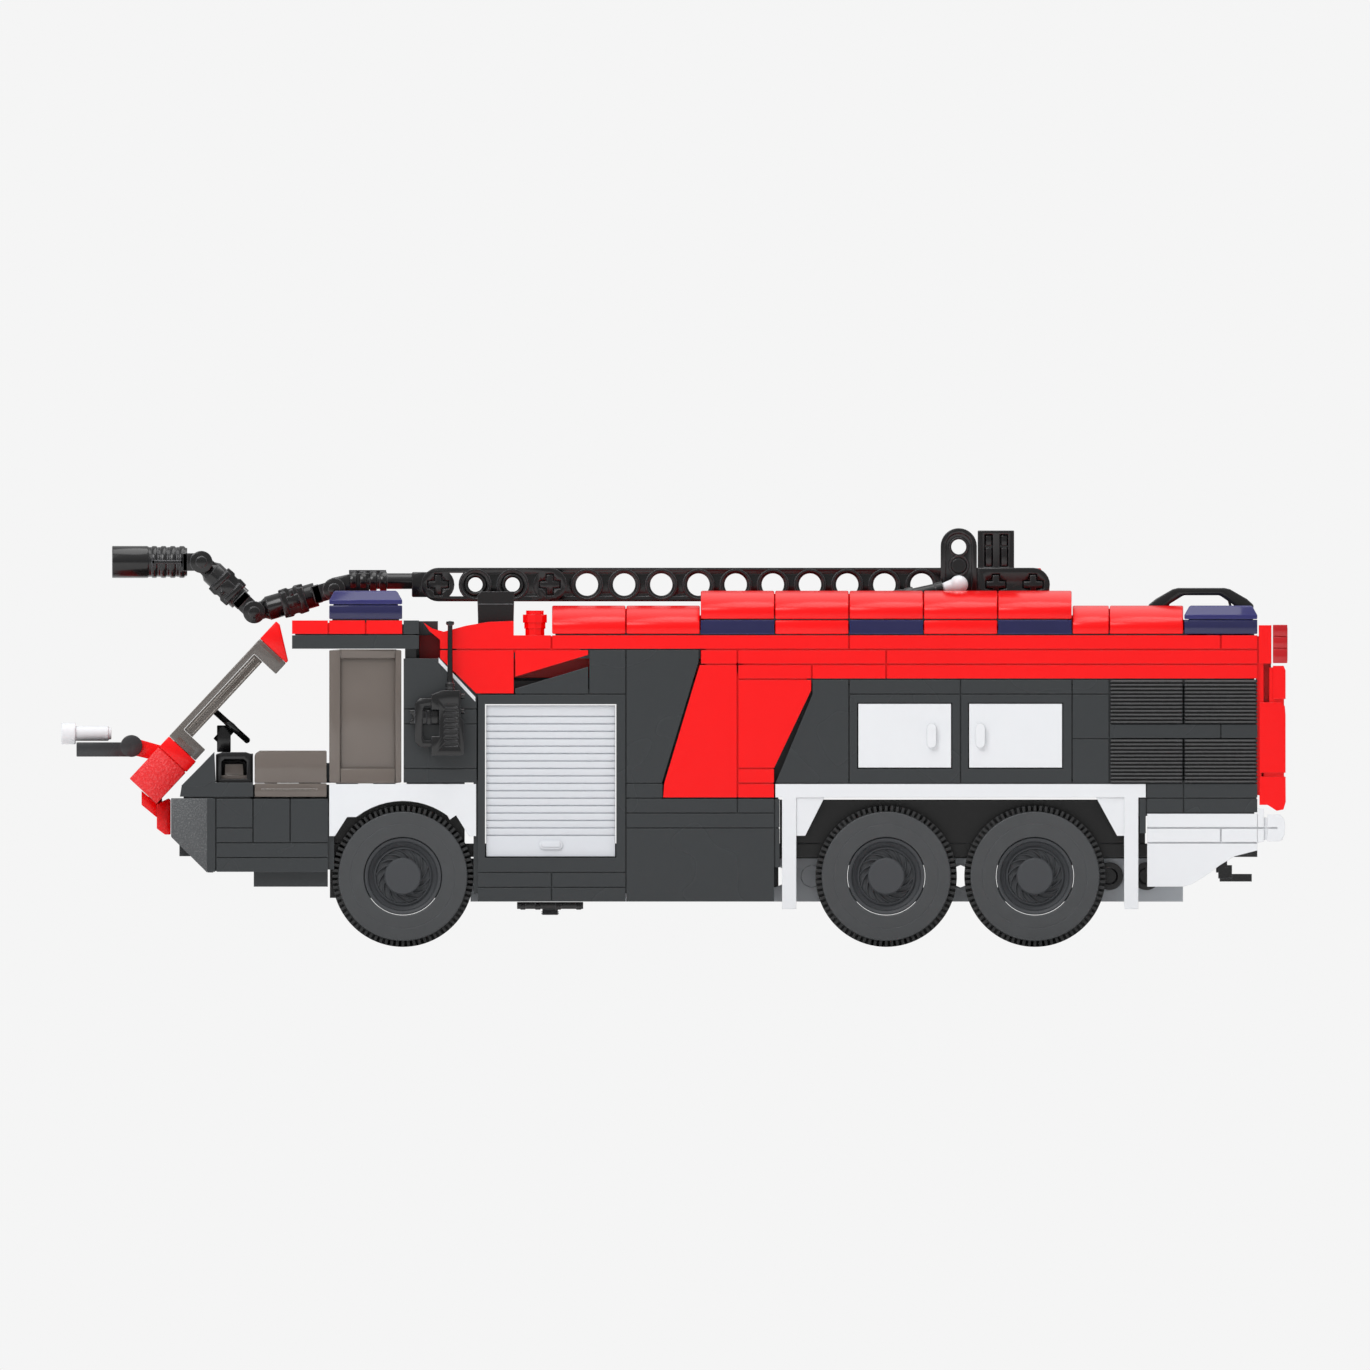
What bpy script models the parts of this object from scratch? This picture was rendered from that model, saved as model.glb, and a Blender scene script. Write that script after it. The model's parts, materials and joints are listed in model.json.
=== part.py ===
"""Toy brick-built airport fire truck: six wheels, roof boom, cab, cupboards and a bay with shutters.

Units are metres. +X runs to the truck's front, +Y to its left side, +Z up. The origin is on the floor,
under the middle of the truck. Places along the truck are counted in studs forward of the body's rear
end, places across it in studs from its middle, and heights in plates above the floor.
"""
import math

import bmesh
import bpy
from mathutils import Matrix, Vector

# Grid of the toy's pieces
STUD = 0.008            # pitch of the studs, along and across
PLATE = 0.0032          # height of one plate
SEAM = 0.0003           # gap between two neighbouring pieces
GROOVE = 0.0005         # depth of the joint lines between bricks of one wall
OVERRUN = 0.002         # how far a cutter passes the face it opens
MOULD_WALL = 0.0016     # wall of a moulded hollow piece

# Reach of the whole truck, in studs from the body's rear end
NOSE_SHARE = 32.19
TAIL_SHARE = -0.79
HALF_SHARE = 4.0        # half width of the body
INNER_SHARE = 3.0       # inner face of the one-stud side walls
BRICK_BACK_SHARE = 3.5  # back of the brick faces, inside the walls
TIE_SHARE = 3.2         # inner face of the ties behind the wall's panels
MID_SHARE = (NOSE_SHARE + TAIL_SHARE) / 2

# Wheels
WHEEL_RADIUS = 0.0152
TYRE_WIDTH = 0.014
TYRE_FACE_RADIUS = 0.0139
TYRE_SHOULDER = 0.0012
RIM_RADIUS = 0.0085
RIM_INNER_RADIUS = 0.0077
RIM_DISH = 0.0022
HUB_DISC_RADIUS = 0.0072
HUB_CAP_RADIUS = 0.004
HUB_CAP_RISE = 0.0009
AXLE_RADIUS = 0.0021
PIN_HOLE_RADIUS = 0.0024
BEAM_HOLE_SIDES = 8
WHEEL_OUTSET = 0.0005   # body face to wheel face
TYRE_GAP = 0.0025       # back of a tyre to the chassis
AXLE_SHARES = {"front": 23.0, "mid": 10.0, "rear": 6.0}

# Front screen and bumper, a leaning assembly
SCREEN_TILT = math.radians(47.0)
SCREEN_FOOT_SHARES = (29.29, 14.17)   # studs along, plates up: outer lower edge of the screen
SCREEN_HEIGHT_SHARE = 9.0             # plates along the lean
SCREEN_CHEEK = 0.0039
SCREEN_GLASS = 0.0012

# Boom, a fifteen-hole beam on the roof
BOOM_HOLES = 15
BOOM_DEPTH = 0.00725
BOOM_WIDTH = 0.0074
BOOM_LEVEL = 0.07796
BOOM_FIRST_SHARE = 21.05              # first hole, in studs
BOOM_PIVOT_SHARE = 6.05
SIDE_BEAM_WIDTH = 0.0074
THIN_BEAM_WIDTH = 0.0036
LIFT_BALL_SHARE = 8.05
LIFT_FOOT_SHARE = 11.08
LIFT_FOOT_LEVEL = 0.0726
LIFT_OUTSET = 0.0115
LIFT_BARREL_RADIUS = 0.0018
LIFT_BARREL_TAIL = 0.0010
LIFT_ROD_RADIUS = 0.0011
LIFT_BARREL_LENGTH = 0.0150
LIFT_BALL_RADIUS = 0.0020
LIFT_PIN_RADIUS = 0.0010

# Colours: name, red, green, blue, roughness, alpha
COLOURS = {
    "red": (0.80, 0.010, 0.012, 0.25, 1.0),
    "dark": (0.042, 0.044, 0.046, 0.30, 1.0),
    "black": (0.012, 0.012, 0.013, 0.30, 1.0),
    "grey": (0.36, 0.37, 0.39, 0.30, 1.0),
    "white": (0.83, 0.84, 0.85, 0.28, 1.0),
    "light": (0.72, 0.73, 0.75, 0.32, 1.0),
    "blue": (0.018, 0.018, 0.12, 0.12, 0.85),
    "smoke": (0.16, 0.13, 0.12, 0.08, 0.45),
    "tail": (0.55, 0.01, 0.02, 0.12, 0.8),
    "rubber": (0.045, 0.046, 0.048, 0.60, 1.0),
    "hub": (0.050, 0.052, 0.055, 0.32, 1.0),
}


def along(share):
    """X of a place counted in studs forward of the body's rear end."""
    return (share - MID_SHARE) * STUD


def across(share):
    """Y of a place counted in studs to the left of the middle."""
    return share * STUD


def up(share):
    """Z of a height counted in plates."""
    return share * PLATE


def clear_scene():
    for item in list(bpy.data.objects):
        bpy.data.objects.remove(item, do_unlink=True)


def material(name):
    """Principled material of one of the named colours."""
    made = bpy.data.materials.get(name)
    if made is None:
        red, green, blue, roughness, alpha = COLOURS[name]
        made = bpy.data.materials.new(name)
        made.use_nodes = True
        shader = made.node_tree.nodes["Principled BSDF"]
        shader.inputs["Base Color"].default_value = (red, green, blue, 1.0)
        shader.inputs["Roughness"].default_value = roughness
        shader.inputs["Alpha"].default_value = alpha
    return made


def mesh_of(shape):
    """Mesh made from a bmesh, with its faces turned outwards."""
    bmesh.ops.recalc_face_normals(shape, faces=shape.faces)
    made = bpy.data.meshes.new("shape")
    shape.to_mesh(made)
    shape.free()
    return made


def box(x_from, x_to, y_from, y_to, z_from, z_to):
    """Plain block between two corners."""
    shape = bmesh.new()
    bmesh.ops.create_cube(shape, size=1.0)
    size = (abs(x_to - x_from), abs(y_to - y_from), abs(z_to - z_from))
    middle = ((x_from + x_to) / 2, (y_from + y_to) / 2, (z_from + z_to) / 2)
    bmesh.ops.scale(shape, vec=size, verts=shape.verts)
    bmesh.ops.translate(shape, vec=middle, verts=shape.verts)
    return mesh_of(shape)


def prism(outline, y_from, y_to):
    """Outline of (x, z) points drawn out across the truck."""
    shape = bmesh.new()
    near = [shape.verts.new((x, y_from, z)) for x, z in outline]
    face = shape.faces.new(near)
    grown = bmesh.ops.extrude_face_region(shape, geom=[face])
    moved = [item for item in grown["geom"] if isinstance(item, bmesh.types.BMVert)]
    bmesh.ops.translate(shape, vec=(0, y_to - y_from, 0), verts=moved)
    return mesh_of(shape)


def grid_box(shares, ease=SEAM):
    """Block given as along from, along to, across from, across to, up from, up to, drawn in on every side."""
    k_from, k_to, j_from, j_to, n_from, n_to = shares
    return box(along(k_from) + ease, along(k_to) - ease, across(j_from) + ease, across(j_to) - ease,
               up(n_from) + ease, up(n_to) - ease)


def grid_boxes(rows, ease=SEAM):
    """Blocks of a table on the stud grid."""
    return [grid_box(row, ease) for row in rows]


def outline_of(shares):
    """Outline in metres of points given in studs along and plates up."""
    return [(along(k), up(n)) for k, n in shares]


def grid_plates(outlines, y_from, y_to):
    """Prisms of outlines given in studs and plates, each drawn in by half a seam."""
    return [prism(shrunk(shares), y_from, y_to) for shares in outlines]


def cross_rod(place, y_from, y_to, radius, sides=12):
    """Round bar across the truck at a place given in studs along and plates up."""
    k, n = place
    return rod((along(k), y_from, up(n)), (along(k), y_to, up(n)), radius, sides=sides)


def shrunk(shares, ease=SEAM / 2):
    """Outline given in studs and plates, drawn in on every side by half a seam."""
    points = [Vector((along(k), up(n))) for k, n in shares]
    turn = sum((points[i - 1].x * points[i].y - points[i].x * points[i - 1].y) for i in range(len(points)))
    side = 1.0 if turn > 0 else -1.0
    made = []
    count = len(points)
    for index in range(count):
        before = (points[index] - points[index - 1]).normalized()
        after = (points[(index + 1) % count] - points[index]).normalized()
        normal_before = Vector((-before.y, before.x)) * side
        normal_after = Vector((-after.y, after.x)) * side
        mean = normal_before + normal_after
        made.append(tuple(points[index] + mean * (2 * ease / mean.length_squared)))
    return made


def long_prism(outline, x_from, x_to):
    """Outline of (y, z) points drawn out along the truck."""
    shape = bmesh.new()
    near = [shape.verts.new((x_from, y, z)) for y, z in outline]
    face = shape.faces.new(near)
    grown = bmesh.ops.extrude_face_region(shape, geom=[face])
    moved = [item for item in grown["geom"] if isinstance(item, bmesh.types.BMVert)]
    bmesh.ops.translate(shape, vec=(x_to - x_from, 0, 0), verts=moved)
    return mesh_of(shape)


def rod(start, end, radius, sides=14, end_radius=None):
    """Round bar or cone between two points."""
    start = Vector(start)
    end = Vector(end)
    line = end - start
    shape = bmesh.new()
    bmesh.ops.create_cone(shape, cap_ends=True, segments=sides, radius1=radius,
                          radius2=radius if end_radius is None else end_radius, depth=line.length)
    turn = Vector((0, 0, 1)).rotation_difference(line).to_matrix().to_4x4()
    bmesh.ops.transform(shape, matrix=Matrix.Translation((start + end) / 2) @ turn, verts=shape.verts)
    return mesh_of(shape)


def ball(centre, radius, sides=12):
    shape = bmesh.new()
    bmesh.ops.create_uvsphere(shape, u_segments=sides, v_segments=sides // 2, radius=radius)
    bmesh.ops.translate(shape, vec=centre, verts=shape.verts)
    return mesh_of(shape)


def turned(profile, centre_x, centre_z, sides):
    """Ring turned about an axis across the truck: profile of (radius, y), closed."""
    shape = bmesh.new()
    rings = []
    for step in range(sides):
        angle = 2 * math.pi * step / sides
        rings.append([shape.verts.new((centre_x + radius * math.cos(angle), y,
                                       centre_z + radius * math.sin(angle))) for radius, y in profile])
    count = len(profile)
    for step in range(sides):
        this_ring = rings[step]
        next_ring = rings[(step + 1) % sides]
        for index in range(count):
            after = (index + 1) % count
            shape.faces.new((this_ring[index], this_ring[after], next_ring[after], next_ring[index]))
    return mesh_of(shape)


def capsule(x_from, x_to, level, radius, y_from, y_to, sides=8):
    """Beam with round ends, lying along the truck: centres of its ends, half depth and both faces."""
    outline = []
    for centre, turn in ((x_to, -math.pi / 2), (x_from, math.pi / 2)):
        for step in range(sides + 1):
            angle = turn + math.pi * step / sides
            outline.append((centre + radius * math.cos(angle), level + radius * math.sin(angle)))
    return prism(outline, y_from, y_to)


def capsule_up(x, z, radius, height, y_from, y_to, sides=6):
    """Upright bar with round ends, drawn out across the truck."""
    outline = []
    for centre, turn in ((z + height / 2 - radius, 0.0), (z - height / 2 + radius, math.pi)):
        for step in range(sides + 1):
            angle = turn + math.pi * step / sides
            outline.append((x + radius * math.cos(angle), centre + radius * math.sin(angle)))
    return prism(outline, y_from, y_to)


def mirrored(mesh):
    """The same shape on the other side of the truck."""
    shape = bmesh.new()
    shape.from_mesh(mesh)
    bmesh.ops.scale(shape, vec=(1, -1, 1), verts=shape.verts)
    return mesh_of(shape)


def both(meshes):
    """Each shape with its mirror image."""
    return [made for mesh in meshes for made in (mesh, mirrored(mesh))]


def joined(meshes):
    """Shapes that lie apart, as one mesh."""
    shape = bmesh.new()
    for mesh in meshes:
        shape.from_mesh(mesh)
    return mesh_of(shape)


def fused(base, adds=(), cuts=()):
    """One closed body: the base with shapes added and then shapes cut away."""
    body = bpy.data.objects.new("body", base)
    bpy.context.scene.collection.objects.link(body)
    tools = []
    for kind, meshes in (("UNION", adds), ("DIFFERENCE", cuts)):
        for mesh in meshes:
            tool = bpy.data.objects.new("tool", mesh)
            bpy.context.scene.collection.objects.link(tool)
            tools.append(tool)
            step = body.modifiers.new("step", "BOOLEAN")
            step.operation = kind
            step.solver = "EXACT"
            step.object = tool
    bpy.context.view_layer.update()
    graph = bpy.context.evaluated_depsgraph_get()
    made = bpy.data.meshes.new_from_object(body.evaluated_get(graph))
    for item in [body] + tools:
        bpy.data.objects.remove(item, do_unlink=True)
    tidy(made)
    return made


def tidy(mesh):
    """Weld the seams that a cut leaves and drop slivers."""
    shape = bmesh.new()
    shape.from_mesh(mesh)
    bmesh.ops.remove_doubles(shape, verts=shape.verts, dist=SEAM / 100)
    bmesh.ops.dissolve_degenerate(shape, edges=shape.edges, dist=SEAM / 100)
    bmesh.ops.dissolve_limit(shape, angle_limit=math.radians(0.2), verts=shape.verts, edges=shape.edges)
    shape.to_mesh(mesh)
    shape.free()


def place(name, colour, mesh, axis=(0, 0, 0), smooth=False):
    """Object of one sub-part, with its origin on its joint's axis."""
    mesh.transform(Matrix.Translation(-Vector(axis)))
    mesh.name = name
    item = bpy.data.objects.new(name, mesh)
    item.location = axis
    mesh.materials.clear()
    mesh.materials.append(material(colour))
    if smooth:
        mesh.shade_smooth()
        mesh.set_sharp_from_angle(angle=math.radians(35))
    bpy.context.scene.collection.objects.link(item)
    return item


def wall_bricks(rows, inner=BRICK_BACK_SHARE, outer=HALF_SHARE):
    """Faces of a side wall's bricks, both sides: rows of (along from, along to, up from, up to)."""
    left = [(k_from, k_to, inner, outer, n_from, n_to) for k_from, k_to, n_from, n_to in rows]
    return joined(both(grid_boxes(left, SEAM / 2)))


def wall_cores(rows, inner=INNER_SHARE):
    """Backing behind a side wall's bricks, both sides, drawn back by the depth of the joint lines."""
    left = [box(along(k_from) + SEAM, along(k_to) - SEAM, across(inner) - SEAM,
                across(HALF_SHARE) - SEAM / 2 - GROOVE, up(n_from) + SEAM, up(n_to) - SEAM)
            for k_from, k_to, n_from, n_to in rows]
    return both(left)
# Chassis. Blocks: along from, along to, across from, across to, up from, up to. The beams, deck, humps
# and carriers count across in shares of the half width between the tyres.
BEAM_SHARES = ((2.0, 21.2, 0.5, 1.0, 3.0, 6.0), (2.0, 21.2, -1.0, -0.5, 3.0, 6.0))
BEAM_TIE_SHARES = ((2.0, 3.0, -1.25, 1.25, 3.0, 6.0), (14.0, 15.0, -1.25, 1.25, 3.0, 6.0),
                   (20.0, 21.0, -1.25, 1.25, 3.0, 6.0))
BEAM_HOLE_SHARES = tuple(k for k in range(3, 20) if k != 14)
DECK_SHARES = (0.0, 25.0, -1.0, 1.0, 6.0, 7.0)
DECK_WIDE_SHARES = (13.0, 17.0, -2.9, 2.9, 6.0, 7.0)
HUMP_SHARES = ((3.0, 12.9, -1.0, 1.0, 6.5, 10.0), (21.3, 25.0, -1.0, 1.0, 6.5, 10.0))
CARRIER_SHARES = ((21.2, 25.0, 0.5, 1.0, 3.2, 6.5), (21.2, 25.0, -1.0, -0.5, 3.2, 6.5))
HITCH_SHARES = ((0.83, 1.13, -0.5, 0.5, 5.0, 6.5), (0.70, 1.07, -0.5, 0.5, 4.6, 5.5))
HITCH_PLATE_SHARES = (0.13, 1.07, -0.5, 0.5, 4.3, 5.0)


def between_tyres(rows, ease=SEAM):
    """Blocks of a table whose places across are shares of the half width between the tyres."""
    half = (across(HALF_SHARE) + WHEEL_OUTSET - TYRE_WIDTH - TYRE_GAP) / STUD
    return [grid_box((k_from, k_to, half * y_from, half * y_to, n_from, n_to), ease)
            for k_from, k_to, y_from, y_to, n_from, n_to in rows]


def chassis_beams():
    """Two holed beams under the body, tied by cross beams."""
    holes = [cross_rod((hole, WHEEL_RADIUS / PLATE), -across(HALF_SHARE), across(HALF_SHARE), PIN_HOLE_RADIUS,
                       sides=BEAM_HOLE_SIDES) for hole in BEAM_HOLE_SHARES]
    first, *others = grid_boxes(BEAM_TIE_SHARES)
    mesh = fused(first, [joined(others), joined(between_tyres(BEAM_SHARES, SEAM / 2))], [joined(holes)])
    place("chassis_beams", "grey", mesh)


def chassis_deck():
    """Deck over the beams, the raised back of the wheel arches, the front axle carriers and the hitch."""
    deck = between_tyres([DECK_SHARES], SEAM / 2)[0]
    axle_hole = cross_rod((AXLE_SHARES["front"], WHEEL_RADIUS / PLATE), -across(HALF_SHARE), across(HALF_SHARE),
                          PIN_HOLE_RADIUS)
    adds = [grid_box(DECK_WIDE_SHARES, SEAM / 2), joined(between_tyres(HUMP_SHARES)),
            joined(between_tyres(CARRIER_SHARES))]
    adds += grid_boxes(HITCH_SHARES, 0.0) + [grid_box(HITCH_PLATE_SHARES, SEAM)]
    place("chassis_deck", "black", fused(deck, adds, [axle_hole]))


# Middle of the body. Blocks as above
MID_CORE_SHARES = ((13.0, 17.0, -3.0, 3.0, 8.0, 11.0), (11.0, 17.0, -3.0, 3.0, 11.0, 18.0),
                   (13.5, 16.5, -2.5, 2.5, 10.0, 12.0))
# Backing and bricks of both walls: along from, along to, up from, up to
MID_BACKING_SHARES = ((12.85, 13.5, 5.3, 8.5), (12.85, 17.0, 8.0, 10.0), (13.0, 17.0, 3.0, 8.5),
                      (16.0, 17.0, 9.5, 11.5))
MID_BRICK_SHARES = ((13.0, 17.0, 3.0, 8.0), (13.0, 17.0, 8.0, 9.0), (12.85, 13.0, 8.0, 10.0),
                    (14.0, 17.0, 9.0, 10.0), (13.0, 14.0, 9.0, 10.0), (16.0, 17.0, 10.0, 11.0),
                    (12.85, 13.0, 5.3, 8.0))
# Outlines of the slanted panels: studs along, plates up
MID_PANEL_SHARES = (((17.0, 11.0), (17.0, 20.0), (15.03, 20.0), (15.03, 19.2), (16.02, 11.0)),
                    ((11.0, 11.0), (13.0, 11.0), (12.0, 17.0), (12.0, 18.0), (11.0, 18.0)))


def mid_body():
    """Dark middle of the body: floor, side walls and the low skirts."""
    floor, inside, tie = grid_boxes(MID_CORE_SHARES)
    panels = grid_plates(MID_PANEL_SHARES, across(INNER_SHARE) - SEAM * 2, across(HALF_SHARE) - SEAM / 2)
    adds = [inside, tie] + wall_cores(MID_BACKING_SHARES) + both(panels) + [wall_bricks(MID_BRICK_SHARES)]
    place("mid_body", "dark", fused(floor, adds))


# Tail of the body, with its grilles
GRILLE_SLATS = 12
GRILLE_DEPTH = 0.0010
GRILLE_SHARES = ((0.0, 2.0, 11.0, 14.0), (2.0, 4.0, 11.0, 14.0), (0.0, 2.0, 15.0, 18.0), (2.0, 4.0, 15.0, 18.0))
REAR_CORE_SHARES = ((0.0, 5.0, -3.05, 3.05, 11.0, 18.0), (0.0, 3.0, -3.05, 3.05, 9.0, 12.0))
REAR_BACKING_SHARES = ((3.9, 5.0, 11.0, 18.0), (0.0, 4.1, 14.0, 15.0), (0.0, 3.0, 9.0, 11.0),
                       (2.8, 3.2, 9.0, 10.0))
REAR_BRICK_SHARES = ((4.0, 5.0, 11.0, 14.0), (4.0, 5.0, 14.0, 17.0), (4.0, 5.0, 17.0, 18.0),
                     (0.0, 1.0, 14.0, 15.0), (1.0, 4.0, 14.0, 15.0), (0.0, 2.0, 10.0, 11.0),
                     (2.0, 3.0, 10.0, 11.0), (0.0, 2.0, 9.0, 10.0), (2.0, 3.0, 9.0, 10.0),
                     (3.0, 3.2, 7.6, 10.0))


def grille(along_from, along_to, up_from, up_to):
    """One slatted tile: a comb section drawn out along the truck."""
    low = up(up_from) + SEAM / 2
    high = up(up_to) - SEAM / 2
    face = across(HALF_SHARE) - SEAM / 2
    back = across(INNER_SHARE) - SEAM
    pitch = (high - low) / GRILLE_SLATS
    outline = [(back, low), (face, low)]
    for index in range(1, GRILLE_SLATS):
        level = low + pitch * index
        outline += [(face, level - pitch / 4), (face - GRILLE_DEPTH, level - pitch / 4),
                    (face - GRILLE_DEPTH, level + pitch / 4), (face, level + pitch / 4)]
    outline += [(face, high), (back, high)]
    return long_prism(outline, along(along_from) + SEAM / 2, along(along_to) - SEAM / 2)


def rear_body():
    """Dark tail of the body, with the grilles of its sides."""
    block, low = grid_boxes(REAR_CORE_SHARES)
    grilles = both([grille(*row) for row in GRILLE_SHARES])
    adds = [low] + wall_cores(REAR_BACKING_SHARES) + grilles + [wall_bricks(REAR_BRICK_SHARES)]
    place("rear_body", "dark", fused(block, adds))


# Cupboards: door opening edges in studs along and plates up
CUPBOARD_SHARES = ({"name": "front", "door": (8.225, 10.78)}, {"name": "rear", "door": (5.24, 7.80)})
CUPBOARD_BLOCK_SHARES = (5.0, 11.0, -4.0, 4.0, 11.0, 18.0)
CUPBOARD_FLOOR_SHARES = (5.0, 11.0, -3.0, 3.0, 10.0, 11.5)
CUPBOARD_BACK_SHARE = 2.2
# Joint lines of the block's sides: along from, along to, up from, up to
CUPBOARD_LINE_SHARES = ((4.5, 11.5, 17.0, 17.0), (8.0, 8.0, 10.5, 18.5))
DOOR_UP_SHARES = (11.98, 16.42)
DOOR_THICKNESS = 0.0015
DOOR_GAP = 0.00025
HANDLE_SIZE = (0.0020, 0.0010, 0.0053)
DOOR_HANDLE_INSET = 0.0024
DOOR_HANDLE_FRONT_INSET = 0.0042


def joint_lines(rows):
    """Cutters of the joint lines on both walls."""
    face = across(HALF_SHARE) - SEAM / 2
    left = [box(along(k_from) - SEAM / 2, along(k_to) + SEAM / 2, face - GROOVE, face + OVERRUN,
                up(n_from) - SEAM / 2, up(n_to) + SEAM / 2) for k_from, k_to, n_from, n_to in rows]
    return both(left)


def cupboards():
    """Block of four cupboards, two on each side, each open behind its door."""
    block = grid_box(CUPBOARD_BLOCK_SHARES, SEAM / 2)
    cuts = []
    for row in CUPBOARD_SHARES:
        k_from, k_to = row["door"]
        cuts.append(box(along(k_from), along(k_to), across(CUPBOARD_BACK_SHARE), across(HALF_SHARE) + OVERRUN,
                        up(DOOR_UP_SHARES[0]), up(DOOR_UP_SHARES[1])))
    mesh = fused(block, [grid_box(CUPBOARD_FLOOR_SHARES)],
                 [joined(both(cuts))] + joint_lines(CUPBOARD_LINE_SHARES))
    place("cupboards", "dark", mesh)


def cupboard_doors():
    """Flush doors, hinged at the edges that face away from each other."""
    face = across(HALF_SHARE) - SEAM / 2
    low = up(DOOR_UP_SHARES[0]) + DOOR_GAP
    high = up(DOOR_UP_SHARES[1]) - DOOR_GAP
    middle = (low + high) / 2
    width, rise, height = HANDLE_SIZE
    for row in CUPBOARD_SHARES:
        k_from, k_to = row["door"]
        x_from = along(k_from) + DOOR_GAP
        x_to = along(k_to) - DOOR_GAP
        front = row["name"] == "front"
        hinge_x = x_to if front else x_from
        handle_x = x_from + DOOR_HANDLE_FRONT_INSET if front else x_to - DOOR_HANDLE_INSET
        handle = capsule_up(handle_x, middle, width / 2, height, face - DOOR_THICKNESS / 2, face + rise)
        left = fused(box(x_from, x_to, face - DOOR_THICKNESS, face, low, high), [handle])
        place("door_" + row["name"] + "_left", "white", left.copy(), axis=(hinge_x, face, middle))
        place("door_" + row["name"] + "_right", "white", mirrored(left), axis=(hinge_x, -face, middle))


# Bay behind the shutters: its opening in studs along and plates up
BAY_BLOCK_SHARES = (17.0, 21.0, -4.0, 4.0, 5.0, 17.0)
BAY_ALONG_SHARES = (17.26, 20.79)
BAY_UP_SHARES = (6.0, 16.32)
BAY_NOTCH_SHARES = (16.5, 21.5, -2.0, 2.0, 4.0, 7.0)
BAY_TOP_SHARES = (17.0, 21.0, -3.05, 3.05, 16.8, 18.0)
BAY_BRICK_SHARES = ((17.0, 19.0, 4.0, 5.0), (19.0, 21.0, 4.0, 5.0), (17.0, 19.0, 3.0, 4.0),
                    (19.0, 21.0, 3.0, 4.0), (17.0, 18.0, 17.0, 20.0))
BAY_BACKING_SHARES = ((17.0, 21.0, 3.0, 5.5), (17.0, 18.0, 16.8, 20.0), (17.9, 20.0, 16.8, 17.4))
BAY_WEDGE_SHARES = (((18.0, 17.0), (20.0, 17.0), (20.0, 17.4), (18.0, 18.9)),)
SHUTTER_THICKNESS = 0.0014
SHUTTER_INSET = 0.0010
SHUTTER_SLATS = 17
SLAT_PITCH = 0.0016
SLAT_TOP_GAP = 0.0027
SLAT_DEPTH = 0.0004


def shutter_bay():
    """Bay that runs through the body, framed on each side for a shutter."""
    bay = box(along(BAY_ALONG_SHARES[0]), along(BAY_ALONG_SHARES[1]), -across(HALF_SHARE) - OVERRUN,
              across(HALF_SHARE) + OVERRUN, up(BAY_UP_SHARES[0]), up(BAY_UP_SHARES[1]))
    wedges = grid_plates(BAY_WEDGE_SHARES, across(INNER_SHARE) - SEAM * 2, across(HALF_SHARE) - SEAM / 2)
    adds = [grid_box(BAY_TOP_SHARES)] + wall_cores(BAY_BACKING_SHARES) + both(wedges)
    adds.append(wall_bricks(BAY_BRICK_SHARES))
    mesh = fused(grid_box(BAY_BLOCK_SHARES, SEAM / 2), adds, [bay, grid_box(BAY_NOTCH_SHARES, -SEAM / 2)])
    place("shutter_bay", "dark", mesh)


def shutters():
    """Slatted shutters, hinged at their upper edges."""
    face = across(HALF_SHARE) - SHUTTER_INSET
    x_from = along(BAY_ALONG_SHARES[0]) + DOOR_GAP
    x_to = along(BAY_ALONG_SHARES[1]) - DOOR_GAP
    low = up(BAY_UP_SHARES[0]) + DOOR_GAP
    high = up(BAY_UP_SHARES[1]) - DOOR_GAP
    foot = high - SLAT_TOP_GAP - SLAT_PITCH * (SHUTTER_SLATS - 1)
    levels = [high - SLAT_TOP_GAP - SLAT_PITCH * index for index in range(SHUTTER_SLATS)]
    # Heights of the slats, from the top strip to the foot strip
    spans = [(levels[0] + SEAM / 2, high - SEAM)]
    spans += [(below + SEAM / 2, above - SEAM / 2) for above, below in zip(levels, levels[1:])]
    spans.append((low + SEAM, foot - SEAM / 2))
    slats = [box(x_from + SEAM, x_to - SEAM, face - SHUTTER_THICKNESS / 2, face, z_from, z_to)
             for z_from, z_to in spans]
    sheet = box(x_from, x_to, face - SHUTTER_THICKNESS, face - SLAT_DEPTH, low, high)
    middle = (x_from + x_to) / 2
    width, rise, length = HANDLE_SIZE
    grip = capsule(middle - length / 2 + width / 2, middle + length / 2 - width / 2, low + length / 2,
                   width / 2, face - SHUTTER_THICKNESS / 2, face + rise - SEAM)
    left = fused(sheet, [joined(slats), grip])
    place("shutter_left", "light", left.copy(), axis=(middle, face, high))
    place("shutter_right", "light", mirrored(left), axis=(middle, -face, high))


# Roof deck and the red fields. Blocks: along from, along to, across from, across to, up from, up to
ROOF_DECK_SHARES = (0.0, 22.0, -3.05, 3.05, 20.0, 21.0)
ROOF_CORE_SHARES = ((0.0, 21.0, -2.75, 2.75, 18.0, 20.5), (5.0, 15.0, -3.0, 3.0, 20.5, 21.95))
# Bricks and backing of both walls: along from, along to, up from, up to
BAND_BRICK_SHARES = ((19.0, 22.0, 20.0, 21.0), (11.0, 19.0, 20.0, 21.0), (1.0, 11.0, 20.0, 21.0),
                     (0.0, 1.0, 20.0, 21.0), (10.0, 14.0, 19.0, 20.0), (0.0, 10.0, 19.0, 20.0),
                     (12.0, 14.0, 18.0, 19.0), (10.0, 12.0, 18.0, 19.0), (0.0, 10.0, 18.0, 19.0),
                     (14.0, 15.0, 19.0, 20.0), (13.0, 14.0, 11.0, 12.0), (13.0, 14.0, 10.0, 11.0))
BAND_BACKING_SHARES = ((0.0, 22.0, 20.0, 21.0), (0.0, 14.9, 19.0, 20.5), (0.0, 13.9, 18.0, 19.5))
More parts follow.
